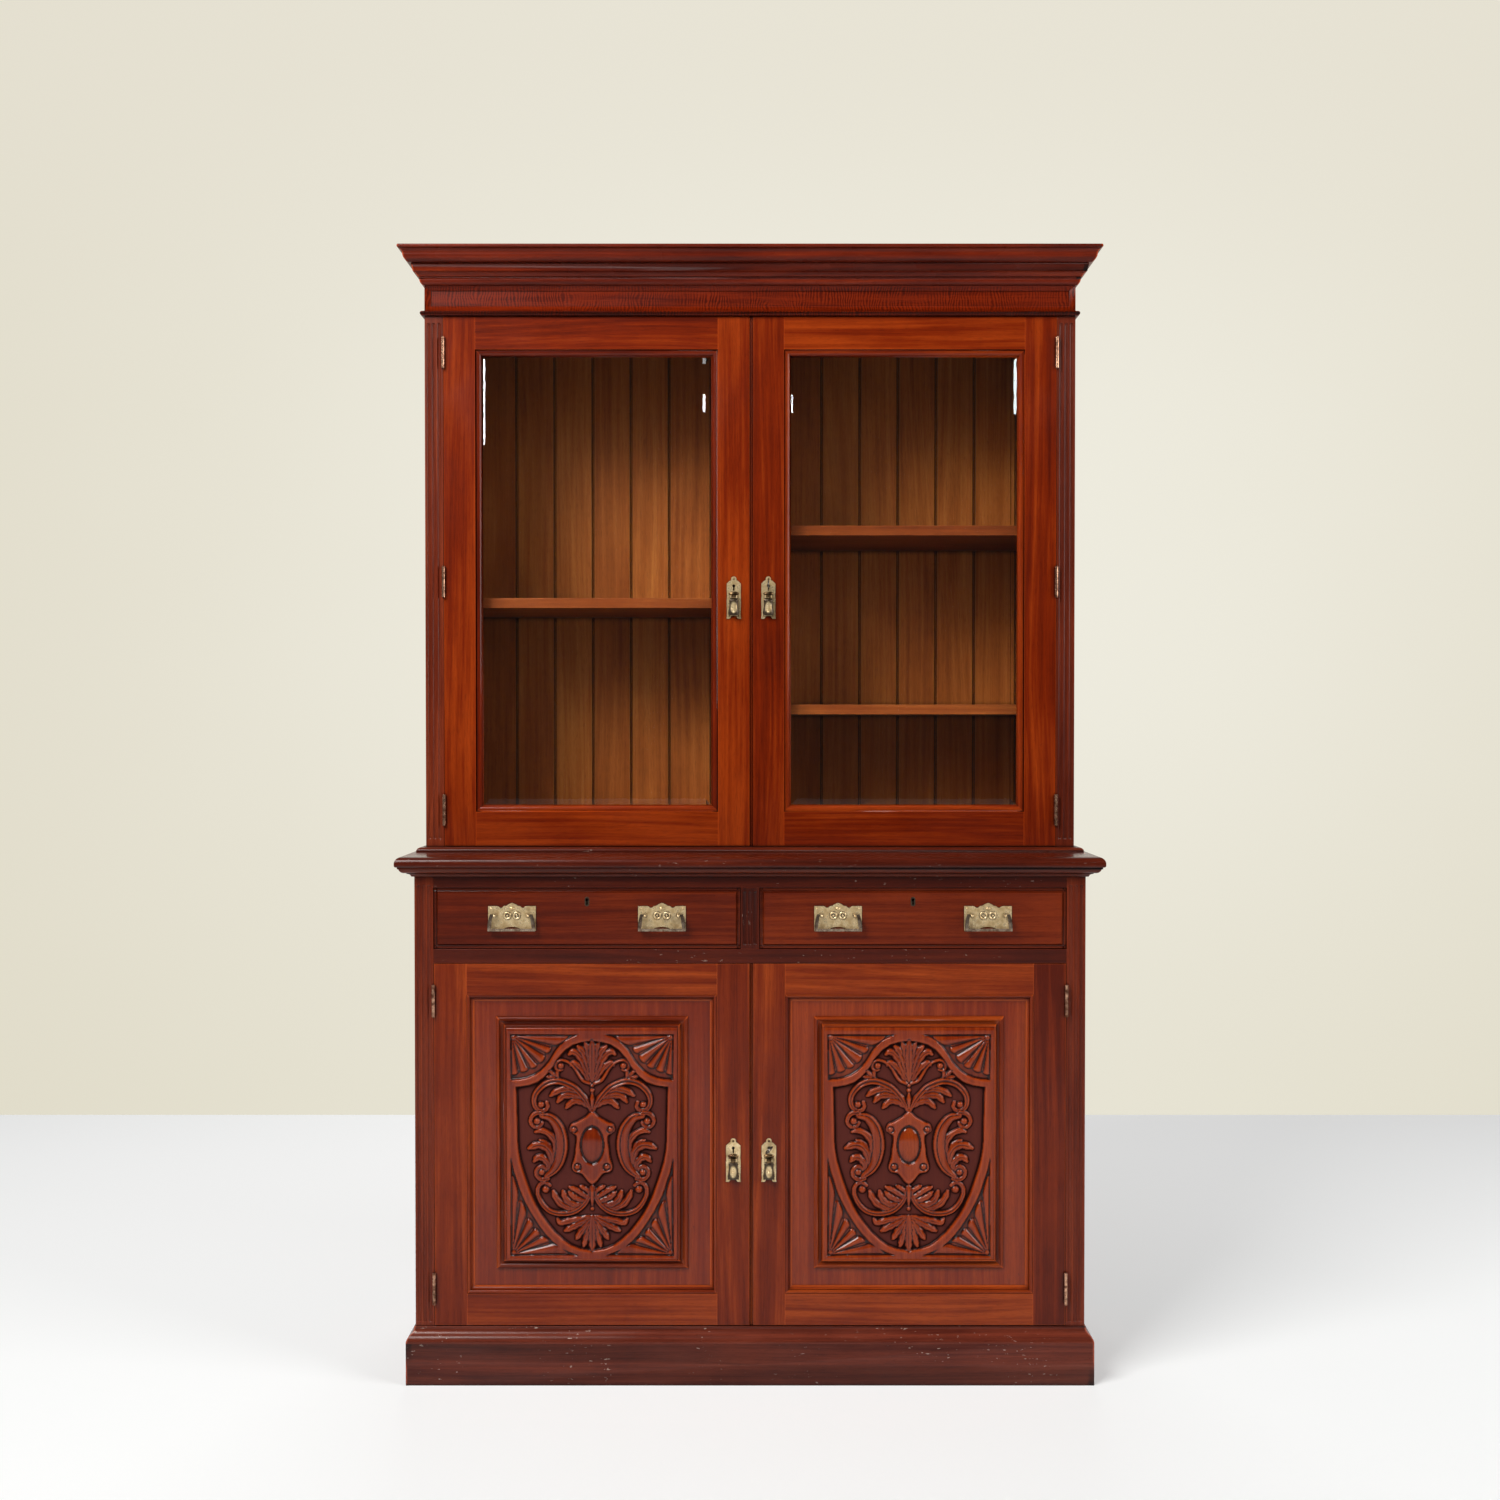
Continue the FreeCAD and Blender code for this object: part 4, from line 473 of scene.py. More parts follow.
def pane_glass():
    """Clear plate glass, faintly green, with a breath of dust that also dulls its gloss."""
    tree = Tree("pane_glass")
    place = tree.add("TexCoord").outputs["Object"]
    smear = tree.noise(place, (9, 2.2), 4, 0.6)
    rough = tree.ramp(smear, 0.45, 0.8, 0, 0.035)
    glass = tree.add("BsdfPrincipled", {"Base Color": (0.965, 0.98, 0.97, 1), "Roughness": rough,
                                        "Transmission Weight": 1.0, "IOR": 1.47}).outputs[0]
    clear = tree.add("BsdfTransparent", {"Color": (0.93, 0.95, 0.94, 1)}).outputs[0]
    lamps = tree.add("LightPath").outputs["Is Shadow Ray"]
    return tree.finish(tree.add("MixShader", {0: lamps, 1: glass, 2: clear}).outputs[0])


WOODS = {  # dark, middle and light shade, and what differs from common polished wood
    # the settings also set how strong the painted shade in recesses and the painted highlight on edges are
    "mahogany_carcase": ((54, 13, 4), (80, 23, 7), (108, 39, 15), dict(worn=0.35, coat=0.7)),
    "mahogany_drawer": ((62, 14, 2), (90, 24, 3), (122, 42, 10), dict(coat=0.7, spread=0.14)),
    "mahogany_pilaster": ((72, 21, 9), (108, 38, 18), (142, 60, 32),
                          dict(coat=0.5, grime=1.0, reach=0.008, rubbed=0.3)),
    "mahogany_cornice": ((74, 16, 4), (112, 32, 9), (146, 56, 22),
                         dict(coat=0.45, polish=0.24, grime=1.0, reach=0.008, rubbed=0.9, spread=0.15)),
    "mahogany_frieze": ((52, 8, 0), (82, 16, 0), (116, 31, 3),
                        dict(ripple=0.12, coat=0.3, polish=0.24, spread=0.14, grime=0.95)),
    "mahogany_upper_door": ((80, 16, 0), (114, 30, 0), (150, 54, 7),
                            dict(coat=0.65, polish=0.11, spread=0.14, rubbed=0.6)),
    "mahogany_lower_door": ((84, 21, 2), (120, 39, 7), (156, 64, 18),
                            dict(coat=0.55, spread=0.14, rubbed=0.6)),
    "mahogany_carving": ((88, 20, 0), (121, 35, 2), (152, 58, 12),
                         dict(coat=1, polish=0.1, grime=0.96, carved=True, spread=0.18)),
    "mahogany_plinth": ((76, 26, 16), (112, 47, 30), (142, 68, 48), dict(worn=0.8, coat=0.6, rubbed=0.8)),
    "inside_wood": ((82, 30, 8), (116, 52, 17), (148, 80, 32), dict(coat=0.15, polish=0.34)),
    "matchboard_wood": ((108, 48, 15), (148, 78, 29), (180, 108, 46),
                        dict(coat=0.1, polish=0.4, reach=0.014, tones=0.14, spread=0.21)),
}
METALS = {  # colour, shade in clouds, roughness, how metallic and how tarnished
    "old_brass": ((244, 218, 170), (206, 174, 124), 0.28, 0.62, 0.35),
    "hinge_brass": ((214, 166, 136), (104, 62, 44), 0.24, 0.9, 0.95),
    "cast_brass": ((150, 122, 86), (62, 42, 28), 0.24, 0.9, 0.9),
    "bail_brass": ((204, 182, 158), (132, 106, 86), 0.24, 0.8, 0.6),
    "old_steel": ((126, 120, 112), (70, 64, 60), 0.24, 0.95, 0.5),
}


def make_materials():
    made = {"pane_glass": pane_glass()}
    for name, (*shades, settings) in WOODS.items():
        made[name] = wood(name, *(srgb(*shade) for shade in shades), **settings)
    for name, (colour, shade, *settings) in METALS.items():
        made[name] = brass(name, srgb(*colour), srgb(*shade), *settings)
    return made


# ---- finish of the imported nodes

FINISHES = {  # a node's is the first one with a word that is in its name
    "pane_glass": "glass", "old_steel": "key", "hinge_brass": "hinge", "old_brass": "plate peg lock",
    "cast_brass": "drop_pull", "bail_brass": "bail", "mahogany_frieze": "frieze",
    "mahogany_cornice": "cornice", "matchboard_wood": "back_boards",
    "inside_wood": "shel runners box bottom_board floor_and_ceiling partition",
    "mahogany_plinth": "plinth", "mahogany_upper_door": "upper_door",
    "mahogany_lower_door": "lower_door", "mahogany_pilaster": "pilaster", "mahogany_drawer": "front",
}
WOOD_ROUNDING = 0.0006
ROUNDING = {"old_brass": 0.00035, "hinge_brass": 0.00015, "cast_brass": 0.0007, "bail_brass": 0.0011,
            "old_steel": 0.0003}
SHARP_EDGE = math.radians(35)
SAME_PLACE = 0.00001
LINER_REACH = 20 * MM
BAIL_BAR = 4 * MM
# how dark a bail's arms are painted, as shade and dark reflection
ARM_SHADE = 0.75


def finish_for(node_name):
    for finish, words in FINISHES.items():
        if any(word in node_name for word in words.split()):
            return finish
    return "mahogany_carcase"


def joined_up():
    """Nodes that join each board's faces at their shared edges and shade the curved ones smooth."""
    tree = bpy.data.node_groups.new("joined_up", "GeometryNodeTree")
    for way in ("INPUT", "OUTPUT"):
        tree.interface.new_socket("Geometry", in_out=way, socket_type="NodeSocketGeometry")
    kinds = ("NodeGroupInput", "GeometryNodeRemoveAttribute", "GeometryNodeMergeByDistance",
             "GeometryNodeSetShadeSmooth", "NodeGroupOutput")
    chain = [tree.nodes.new(kind) for kind in kinds]
    chain[1].inputs["Name"].default_value = "custom_normal"
    chain[2].inputs["Distance"].default_value = SAME_PLACE
    for first, second in zip(chain, chain[1:]):
        tree.links.new(first.outputs[0], second.inputs[0])
    return tree


def round_edges(piece, group, width):
    """Joins a node's faces and rounds its sharp edges by a hair, so that they catch the light."""
    modifier = piece.modifiers.new("joined_up", "NODES")
    modifier.node_group = group
    bevel = piece.modifiers.new("round_edges", "BEVEL")
    bevel.width = width
    bevel.segments = 2
    bevel.limit_method = "ANGLE"
    bevel.angle_limit = SHARP_EDGE
    bevel.harden_normals = True


def mark_liner(piece):
    """Marks the keyhole liner among a drawer's back plates, the solid at their middle, to be darkened as dull
    metal and as the painted shade of the keyhole.
    """
    mesh = piece.data
    places = points_of(mesh)[:, 0]
    middle = (places.min() + places.max()) / 2
    dull = np.zeros(len(mesh.loops), np.float32)
    for run in solids_of(mesh):
        ring = [place for i in run for place in places[list(mesh.polygons[i].vertices)]]
        if abs((min(ring) + max(ring)) / 2 - middle) < LINER_REACH:
            for i in run:
                dull[list(mesh.polygons[i].loop_indices)] = 1
    store(piece, "dull", dull)


def mark_arms(piece):
    """Marks a bail's arms, all that stands above its bar, to be darkened as painted shade and dark
    reflection.
    """
    height = points_of(piece.data)[:, 2]
    store(piece, "dull", smooth((height - height.min() - BAIL_BAR) / BAIL_BAR) * ARM_SHADE, "POINT")


def finish_nodes(materials):
    group = joined_up()
    for name, piece in NODES.items():
        finish = finish_for(name)
        if finish in WOODS:
            lay_grain(piece)
        if "pull_plates" in name:
            mark_liner(piece)
        if finish == "bail_brass":
            mark_arms(piece)
        piece.material_slots[0].material = materials[finish]
        if finish != "pane_glass":
            round_edges(piece, group, ROUNDING.get(finish, WOOD_ROUNDING))


# ---- relief carving

def curve_through(points, spacing):
    """Points along a smooth curve through the given ones, and their shares of its length."""
    given = np.array(points, float)
    ends = np.vstack([2 * given[0] - given[1], given, 2 * given[-1] - given[-2]])
    made = []
    for index in range(len(given) - 1):
        before, start, end, after = ends[index:index + 4]
        count = max(2, int(np.linalg.norm(end - start) / spacing) + 1)
        t = np.arange(count)[:, None] / count
        square = 2 * before - 5 * start + 4 * end - after
        cube = 3 * start - before - 3 * end + after
        made.append(0.5 * (2 * start + (end - before) * t + square * t ** 2 + cube * t ** 3))
    path = np.vstack(made + [given[-1:]])
    lengths = np.linalg.norm(np.diff(path, axis=0), axis=1)
    share = np.concatenate([[0], np.cumsum(lengths)]) / max(lengths.sum(), 1e-9)
    return path, share


def rounded(t):
    return np.sqrt(np.clip(1 - t * t, 0, 1))


def veined(t):
    """A leaf's section: crowned, with a deep groove along its middle and a shallow one at each side."""
    middle = 0.45 * np.exp(-(t / 0.17) ** 2)
    sides = 0.16 * np.exp(-((np.abs(t) - 0.58) / 0.14) ** 2)
    return rounded(t) ** 0.6 * (1 - middle - sides)


def gouged(t):
    """A hollow between two rims."""
    return smooth((1 - np.abs(t)) / 0.16) * (0.5 + 0.5 * smooth((np.abs(t) - 0.25) / 0.5))


def c_scroll(t):
    """A broad rounded strap with a bead along its outer side and a quirk between the two."""
    bead = rounded((t - 0.73) / 0.27)
    strap = rounded((t + 0.27) / 0.71) ** 0.7 * (0.9 - 0.16 * smooth(-t))
    return np.where(t > 0.45, 0.25 + 0.75 * bead, 0.2 + 0.8 * strap)


STROKE_STEP = 2
GROOVE = 1.3  # the line beside a stroke: its width, and the share it cuts off there
GROOVE_CUT = 0.55
RIM_LEFT = 0.35  # the share that is left round a boss
WALL = 1.6


class Relief:
    """Heights over a face whose two halves mirror each other, in millimetres. Only the left half is kept."""

    def __init__(self, across, up):
        self.across = across
        self.up = up
        self.u, self.v = np.meshgrid(across, up)
        self.height = np.zeros(self.u.shape)
        self.ground = 0

    def window(self, points, reach):
        """The rows and columns that lie within reach of some points."""
        (left, low), (right, high) = points.min(0) - reach, points.max(0) + reach
        columns = slice(*np.searchsorted(self.across, (left, right)))
        return slice(*np.searchsorted(self.up, (low, high))), columns

    def measure(self, path, rows, columns):
        """Each place's distance to a path, signed by its side (left is positive), and its share along it."""
        u = self.u[rows, columns][..., None] - path[:-1, 0]
        v = self.v[rows, columns][..., None] - path[:-1, 1]
        step = np.diff(path, axis=0)
        square = np.maximum((step ** 2).sum(1), 1e-12)
        t = np.clip((u * step[:, 0] + v * step[:, 1]) / square, 0, 1)
        du = u - t * step[:, 0]
        dv = v - t * step[:, 1]
        gap = du * du + dv * dv
        nearest = gap.argmin(-1)[..., None]
        pick = [np.take_along_axis(values, nearest, -1)[..., 0] for values in (gap, du, dv, t)]
        index = nearest[..., 0]
        side = np.sign(step[index, 0] * pick[2] - step[index, 1] * pick[1])
        return np.sqrt(pick[0]) * np.where(side == 0, 1, side), index, pick[3]

    def stroke(self, points, half_widths, heights, section=rounded):
        """A raised strip along a curve; widths and heights are given at even steps along it."""
        path, share = curve_through(points, STROKE_STEP)
        rows, columns = self.window(path, max(half_widths) + GROOVE + 1)
        if self.u[rows, columns].size == 0:
            return
        gap, index, t = self.measure(path, rows, columns)
        at = share[index] + (share[index + 1] - share[index]) * t
        wide = np.interp(at, np.linspace(0, 1, len(half_widths)), half_widths)
        high = np.interp(at, np.linspace(0, 1, len(heights)), heights)
        height = self.height[rows, columns]
        rise = height - self.ground
        near = smooth((wide + GROOVE - np.abs(gap)) / GROOVE)
        height = self.ground + rise * (1 - GROOVE_CUT * near)
        body = self.ground + high * section(np.clip(gap / wide, -1, 1))
        inside = np.abs(gap) < wide
        self.height[rows, columns] = np.where(inside, np.maximum(height, body), height)

    def dome(self, centre, half_u, half_v, high, rim=0):
        """An oval boss, with a cut line round it."""
        far = np.hypot((self.u - centre[0]) / half_u, (self.v - centre[1]) / half_v)
        cut = (far > 1) & (far < 1 + rim)
        lowered = self.ground + RIM_LEFT * (self.height[cut] - self.ground)
        self.height[cut] = np.minimum(self.height[cut], lowered)
        body = self.ground + high * rounded(far)
        self.height = np.where(far < 1, np.maximum(body, self.ground), self.height)

    def balls(self, places, high, rim):
        for u, v, radius in places:
            self.dome((u, v), radius, radius, high, rim)

    def within(self, outline):
        """True inside a closed outline."""
        mask = np.zeros(self.u.shape, bool)
        for (u0, v0), (u1, v1) in zip(outline, np.roll(outline, -1, axis=0)):
            crosses = (v0 > self.v) != (v1 > self.v)
            slope = (u1 - u0) * (self.v - v0) / ((v1 - v0) or 1e-9) + u0
            mask ^= crosses & (self.u < slope)
        return mask

    def edge_gap(self, outline):
        """How far each place is from a closed outline."""
        path = np.vstack([outline, outline[:1]])
        gap = np.full(self.u.shape, 1e9)
        for start in range(0, len(path) - 1, 12):
            part = path[start:start + 13]
            rows, columns = self.window(part, 12)
            if self.u[rows, columns].size:
                found = np.abs(self.measure(part, rows, columns)[0])
                gap[rows, columns] = np.minimum(gap[rows, columns], found)
        return gap

    def sink(self, outline, depth, wall=WALL):
        """Lowers the inside of an outline to a level below the face, with a steep wall round it."""
        down = depth * smooth(self.edge_gap(outline) / wall)
        self.height = np.where(self.within(outline), -down, self.height)

    def plate(self, outline, high):
        """A flat raised plate of a given outline."""
        body = self.ground + high * smooth(self.edge_gap(outline) / WALL) ** 0.6
        self.height = np.where(self.within(outline), np.maximum(self.height, body), self.height)

    def whole(self):
        """Both halves of the heights, with their places across."""
        return (np.concatenate([self.across, -self.across[-2::-1]]),
                np.concatenate([self.height, self.height[:, -2::-1]], axis=1))


GROUND_DEEP = 6
FAN_DEEP = 5
PAST_MIDDLE = 40  # how far an outline runs past the line that the halves mirror in
TOP_FAN_AT = ((-158, 216), (-161.5, 219.5))  # where its rays start, and its corner
FOOT_FAN_AT = ((-158, -217), (-161.5, -220.5))

# the left half of the design, in millimetres from the middle of the carving
SHIELD_EDGE = [(0, 207), (-21, 204), (-38, 199), (-53, 189), (-63, 178), (-71, 168), (-77, 157), (-85, 146),
               (-95, 135), (-108, 125), (-125, 119), (-143, 116), (-151, 116), (-150.5, 108), (-150, 91),
               (-149, 51), (-148, 5), (-146.5, -11), (-143, -31), (-137, -52), (-129, -76), (-121, -99),
               (-111, -121), (-101, -139), (-88, -157), (-75, -173), (-58, -189), (-43, -200), (-25, -207),
               (0, -211)]
TOP_FAN_EDGE = [(-23, 219), (-38, 214), (-53, 206), (-63, 196), (-71, 186), (-77, 176), (-83, 166),
                (-91, 156), (-101, 146), (-113, 138), (-128, 132), (-143, 129), (-161, 128)]
FOOT_FAN_EDGE = [(-161, -8), (-158.5, -31), (-153.5, -53), (-148, -69), (-143, -86), (-138, -99),
                 (-131, -114), (-121, -133), (-111, -149), (-101, -164), (-91, -177), (-78, -191),
                 (-63, -203), (-45, -212), (-23, -220)]
TOP_FAN_RAYS = [(-162.5, 133), (-143, 138), (-121, 146), (-102, 155), (-86, 176), (-73, 193), (-32, 221)]
FOOT_FAN_RAYS = [(-162.5, -40), (-144, -98), (-127, -138), (-112, -160), (-98, -178), (-77, -193),
                 (-34, -222)]

# curled strokes: points, half widths, heights, section
CURLS = (
    ([(-4, 121), (-18, 127), (-26, 138), (-33, 150), (-42, 160), (-53, 166), (-64, 167), (-71, 161),
      (-72, 152), (-66, 147), (-60, 149)], (3.4, 3, 2.6, 2.6, 2.6), (4.6, 4.8, 4.6, 4.4, 4), rounded),
    ([(-3, 68), (-9, 82), (-19, 97), (-33, 112), (-48, 120), (-63, 125), (-78, 125), (-93, 120), (-105, 110),
      (-113, 98), (-115, 86), (-112, 75), (-104, 68), (-94, 68), (-88, 75), (-90, 84)],
     (2.6, 4.4, 5.6, 6.2, 5.8, 4.8, 3.8, 3), (4.6, 5.2, 5.6, 5.8, 5.6, 5, 4.6, 4.2), gouged),
    ([(-100, 63), (-112, 62), (-120, 54), (-121, 43), (-114, 35), (-104, 36), (-99, 43)],
     (4.2, 3.6, 3.2, 3), (5.2, 5, 4.6, 4.2), gouged),
    ([(-88, -67), (-100, -69), (-109, -63), (-111, -53), (-105, -45), (-97, -44), (-92, -50)],
     (4, 3.6, 3.2, 3), (5.2, 5, 4.6, 4.2), gouged),
    ([(-99, 57), (-84, 54), (-73, 44), (-65, 30), (-61, 14), (-60, -3), (-62, -20), (-67, -36), (-76, -50),
      (-90, -62)], (5.5, 8.5, 10.5, 11.5, 11.5, 10.5, 8.5, 5), (5, 5.6, 5.9, 5.9, 5.6, 5), c_scroll),
    ([(-2, -84), (-6, -101), (-13, -115), (-25, -127), (-38, -134), (-54, -137), (-71, -136), (-85, -131),
      (-96, -121), (-104, -108), (-108, -96), (-107, -85), (-100, -77), (-91, -76), (-84, -81)],
     (2.4, 3.8, 4.6, 4.8, 4.6, 4, 3.4, 3), (4.4, 5, 5.4, 5.6, 5.4, 5, 4.6, 4.2), gouged),
)
# leaves: points from stem to tip, widest half width
LEAVES = (
    # top palmette
    ([(-7, 126), (-14, 141), (-24, 154), (-36, 162), (-42, 157)], 6.2),
    ([(-5, 131), (-14, 157), (-26, 177), (-38, 184), (-45, 179)], 7.2),
    ([(-3, 135), (-9, 164), (-17, 183), (-28, 195)], 7),
    ([(-1, 138), (-4, 168), (-8, 188), (-14, 202)], 6.2), ([(0, 127), (0, 155), (0, 184), (0, 206)], 7.6),
    # sprigs beside it
    ([(-67, 130), (-75, 138), (-84, 147)], 3.6), ([(-67, 130), (-78, 133), (-90, 135)], 3.4),
    ([(-67, 130), (-69, 141), (-68, 151)], 3.2),
    # inside the upper scroll
    ([(-8, 84), (-20, 99), (-36, 108), (-54, 110), (-71, 105), (-82, 97)], 7),
    ([(-9, 80), (-25, 92), (-42, 98), (-58, 96), (-68, 85)], 6.8),
    ([(-8, 75), (-22, 84), (-36, 86), (-45, 80), (-51, 73)], 6.2),
    # inside the side scroll
    ([(-80, -32), (-81, -12), (-90, 2), (-104, 9)], 4.4),
    ([(-79, -46), (-74, -25), (-72, -4), (-77, 12), (-88, 23), (-101, 28), (-112, 25)], 6.4),
    ([(-83, -48), (-80, -32), (-84, -14), (-95, -3), (-109, -1), (-125, -7)], 8),
    ([(-86, -51), (-88, -38), (-97, -27), (-107, -25), (-115, -33)], 6.8),
    # inside the lower scroll
    ([(-20, -125), (-40, -127), (-60, -119), (-72, -105), (-77, -92)], 6.6),
    ([(-18, -119), (-38, -118), (-52, -108), (-58, -92)], 6.4),
    ([(-11, -113), (-25, -109), (-37, -103), (-46, -94)], 5.8),
    ([(-8, -106), (-20, -98), (-32, -90), (-45, -84)], 5.4), ([(-5, -97), (-12, -89), (-24, -82)], 4.4),
    # bottom palmette
    ([(-5, -143), (-22, -147), (-42, -150), (-62, -155), (-69, -148)], 6.2),
    ([(-5, -146), (-20, -154), (-36, -162), (-54, -171)], 6.6),
    ([(-4, -149), (-14, -162), (-23, -174), (-31, -187)], 6.4),
    ([(-2, -152), (-8, -170), (-13, -187), (-17, -202)], 5.8),
    ([(0, -143), (0, -168), (0, -190), (0, -209)], 7.4),
)
LOBES = (0.42, 0.78, 0.7, 1, 0.82, 1.08, 0.84, 0.92, 0.4)  # a leaf's edge, in shares of its half width
# balls and beads: middle and radius
SCROLL_BALLS = ((-62, 156, 6), (-101, 79, 6.2), (-109, 46, 6.6), (-100, -55, 6.6), (-92, -89, 6.8))
CARTOUCHE_BALLS = ((-36, 30, 5.6), (-29, -44, 6.2))
BEADS = ((0, 117, 3.6), (0, 107.5, 4.2), (0, -127.5, 3.6))
SPINDLES = (((0, 102), (0, 70), 4.6), ((0, -80), (0, -122), 4.8))
CARTOUCHE = [(0, 67), (-7, 62), (-13, 56), (-23, 50), (-32, 45), (-40, 42), (-44, 36), (-44, 27), (-38, 22),
             (-32, 18), (-31, 8), (-33, -6), (-34, -18), (-36, -28), (-39, -38), (-40, -47), (-35, -54),
             (-27, -56), (-21, -58), (-15, -65), (-8, -74), (0, -79)]


def polar(first, u, v):
    """The angle turned since a first direction, from minus to plus half a turn, and the distance."""
    return (np.arctan2(v, u) - first + math.pi) % (2 * math.pi) - math.pi, np.hypot(u, v)


def fan(relief, edge, rays, origin, corner):
    """A sunk corner filled by tongues that spread from its far end, with cuts between them and round tips."""
    outline = np.array([corner] + edge, float)
    relief.sink(outline, FAN_DEEP, 1.4)
    inside = relief.within(outline)
    ends = np.array(rays, float) - origin
    first = math.atan2(ends[0, 1], ends[0, 0])
    ray_turn, ray_far = polar(first, ends[:, 0], ends[:, 1])
    turn, far = polar(first, relief.u - origin[0], relief.v - origin[1])
    for index in range(len(rays) - 1):
        start, end = ray_turn[index:index + 2]
        share = (turn - start) / (end - start)
        tongue = inside & (share > 0) & (share < 1)
        aside = np.clip(np.abs(2 * share - 1), 0, 1)
        reach = ray_far[index] + (ray_far[index + 1] - ray_far[index]) * share
        reach = reach * (0.88 + 0.08 * np.sqrt(1 - aside ** 2))
        crown = (1 - np.clip(aside / 0.74, 0, 1) ** 3) ** 0.7
        ridge = smooth((aside - 0.84) / 0.16)
        body = -FAN_DEEP + (0.4 + 4.2 * crown + 2.2 * ridge) * smooth((reach - far) / 2.6)
        relief.height = np.where(tongue, np.maximum(relief.height, body), relief.height)
    knob = np.array(corner) + np.sign(np.array(origin) - corner) * 7
    relief.ground = -FAN_DEEP
    relief.dome(knob, 5.5, 5.5, 4.8)


def carve_design(relief):
    """Cuts the shield and its corner fans, and lays the leaves, scrolls and cartouche in them."""
    shield = np.array(SHIELD_EDGE + [(PAST_MIDDLE, -211), (PAST_MIDDLE, 207)], float)
    relief.sink(shield, GROUND_DEEP)
    fan(relief, TOP_FAN_EDGE, TOP_FAN_RAYS, *TOP_FAN_AT)
    fan(relief, FOOT_FAN_EDGE, FOOT_FAN_RAYS, *FOOT_FAN_AT)
    relief.ground = -GROUND_DEEP
    for points, wide in LEAVES:
        widths = [wide * share for share in LOBES]
        relief.stroke(points, widths, (3.4, 4.2, 4.8, 5.2, 5.4), veined)
    for points, widths, heights, section in CURLS:
        relief.stroke(points, widths, heights, section)
    relief.balls(SCROLL_BALLS, 5.4, 0.22)
    for start, end, wide in SPINDLES:
        relief.stroke([start, end], (1.4, wide, wide * 0.8, 1), (3.6, 5.0, 4.6, 3.2))
    relief.balls(BEADS, 4.8, 0.25)
    cartouche = curve_through(CARTOUCHE, 1.5)[0]
    relief.plate(np.vstack([cartouche, [(PAST_MIDDLE, -79), (PAST_MIDDLE, 67)]]), 5.2)
    relief.balls(CARTOUCHE_BALLS, 5.8, 0.34)
    relief.dome((0, 0), 21.5, 34.5, 8.4, 0.13)


def blurred(height, times):
    """Heights averaged with their neighbours, over and over."""
    for _ in range(times):
        for axis in (0, 1):
            before = np.roll(height, 1, axis)
            after = np.roll(height, -1, axis)
            height = (before + 2 * height + after) / 4
    return height


FIELD_BEHIND_FACE = 9 * MM
CARVING_HALF = 162
CARVING_UP = 221
CARVING_DROP = 4 * MM
CARVING_STEP = 1.25
BOARD_FACES = ((0, 1, 2, 3), (7, 6, 5, 4), (1, 0, 4, 5), (2, 1, 5, 6), (3, 2, 6, 7), (0, 3, 7, 4))


def front_face(name):
    """The lowest and highest corner of a node's foremost flat face."""
    points = np.array([v.co for v in NODES[name].data.vertices])
    face = points[points[:, 1] < points[:, 1].min() + 0.1 * MM]
    return face.min(0), face.max(0)


def fine_lines(inner, outer):
    """Places from an outer edge in to the middle, close together over the carving."""
    fine = np.linspace(-inner, 0, int(inner / CARVING_STEP) + 1)
    return np.concatenate([np.linspace(-outer, -inner - 0.4, 4), fine])


def panel_mesh(name, across, up, height):
    """A panel's points and faces: the relief as its front, a rim round that, and a plain board behind."""
    low, high = front_face(name)
    (left, _, foot), (right, back, top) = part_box(name)
    middle = (low + high) / 2
    field_y = low[1] + FIELD_BEHIND_FACE
    x, z = np.meshgrid(middle[0] + across * MM, middle[2] - CARVING_DROP + up * MM)
    points = np.stack([x, low[1] - height * MM, z], -1).reshape(-1, 3).tolist()
    index = np.arange(height.size).reshape(height.shape)
    corners = [index[:-1, :-1], index[:-1, 1:], index[1:, 1:], index[1:, :-1]]
    faces = np.stack(corners, -1).reshape(-1, 4).tolist()
    rim = [*index[0, :], *index[1:, -1], *index[-1, -2::-1], *index[-2:0:-1, 0]]
    start = len(points)
    points += [(points[vertex][0], field_y, points[vertex][2]) for vertex in rim]
    for step in range(len(rim)):
        after = (step + 1) % len(rim)
        faces.append((int(rim[after]), int(rim[step]), start + step, start + after))
    start = len(points)
    for y in (field_y, back):
        points += [(left, y, foot), (right, y, foot), (right, y, top), (left, y, top)]
    faces += [tuple(start + corner for corner in face) for face in BOARD_FACES]
    return points, faces


def carving_shades(height):
    """Where the carving is matted, hollow and high, from its heights beside the blurred ones."""
    near, wide = blurred(height, 4), blurred(height, 36)
    hollow = smooth((near - height - 0.05) / 0.5) + smooth((wide - height - 0.2) / 2.4)
    return {"matted": smooth((-height - 4.8) / 0.8), "hollow": np.clip(hollow, 0, 1),
            "high": smooth((height - wide - 0.3) / 1.6)}


def make_carved_panel(side, across, up, height, material):
    """A door's carved panel, in place of its plain one."""
    name = f"lower_door_{side}_panel"
    points, faces = panel_mesh(name, across, up, height)
    panel = new_piece(f"carved_panel_{side}", points, faces, material)
    flat = len(BOARD_FACES)
    panel.data.polygons.foreach_set("use_smooth", [True] * (len(faces) - flat) + [False] * flat)
    for word, shade in carving_shades(height).items():
        store(panel, word, np.pad(shade.ravel(), (0, len(points) - shade.size)), "POINT")
    lay_grain(panel, whole=True)
    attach(panel, f"lower_door_{side}")
    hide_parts(name)


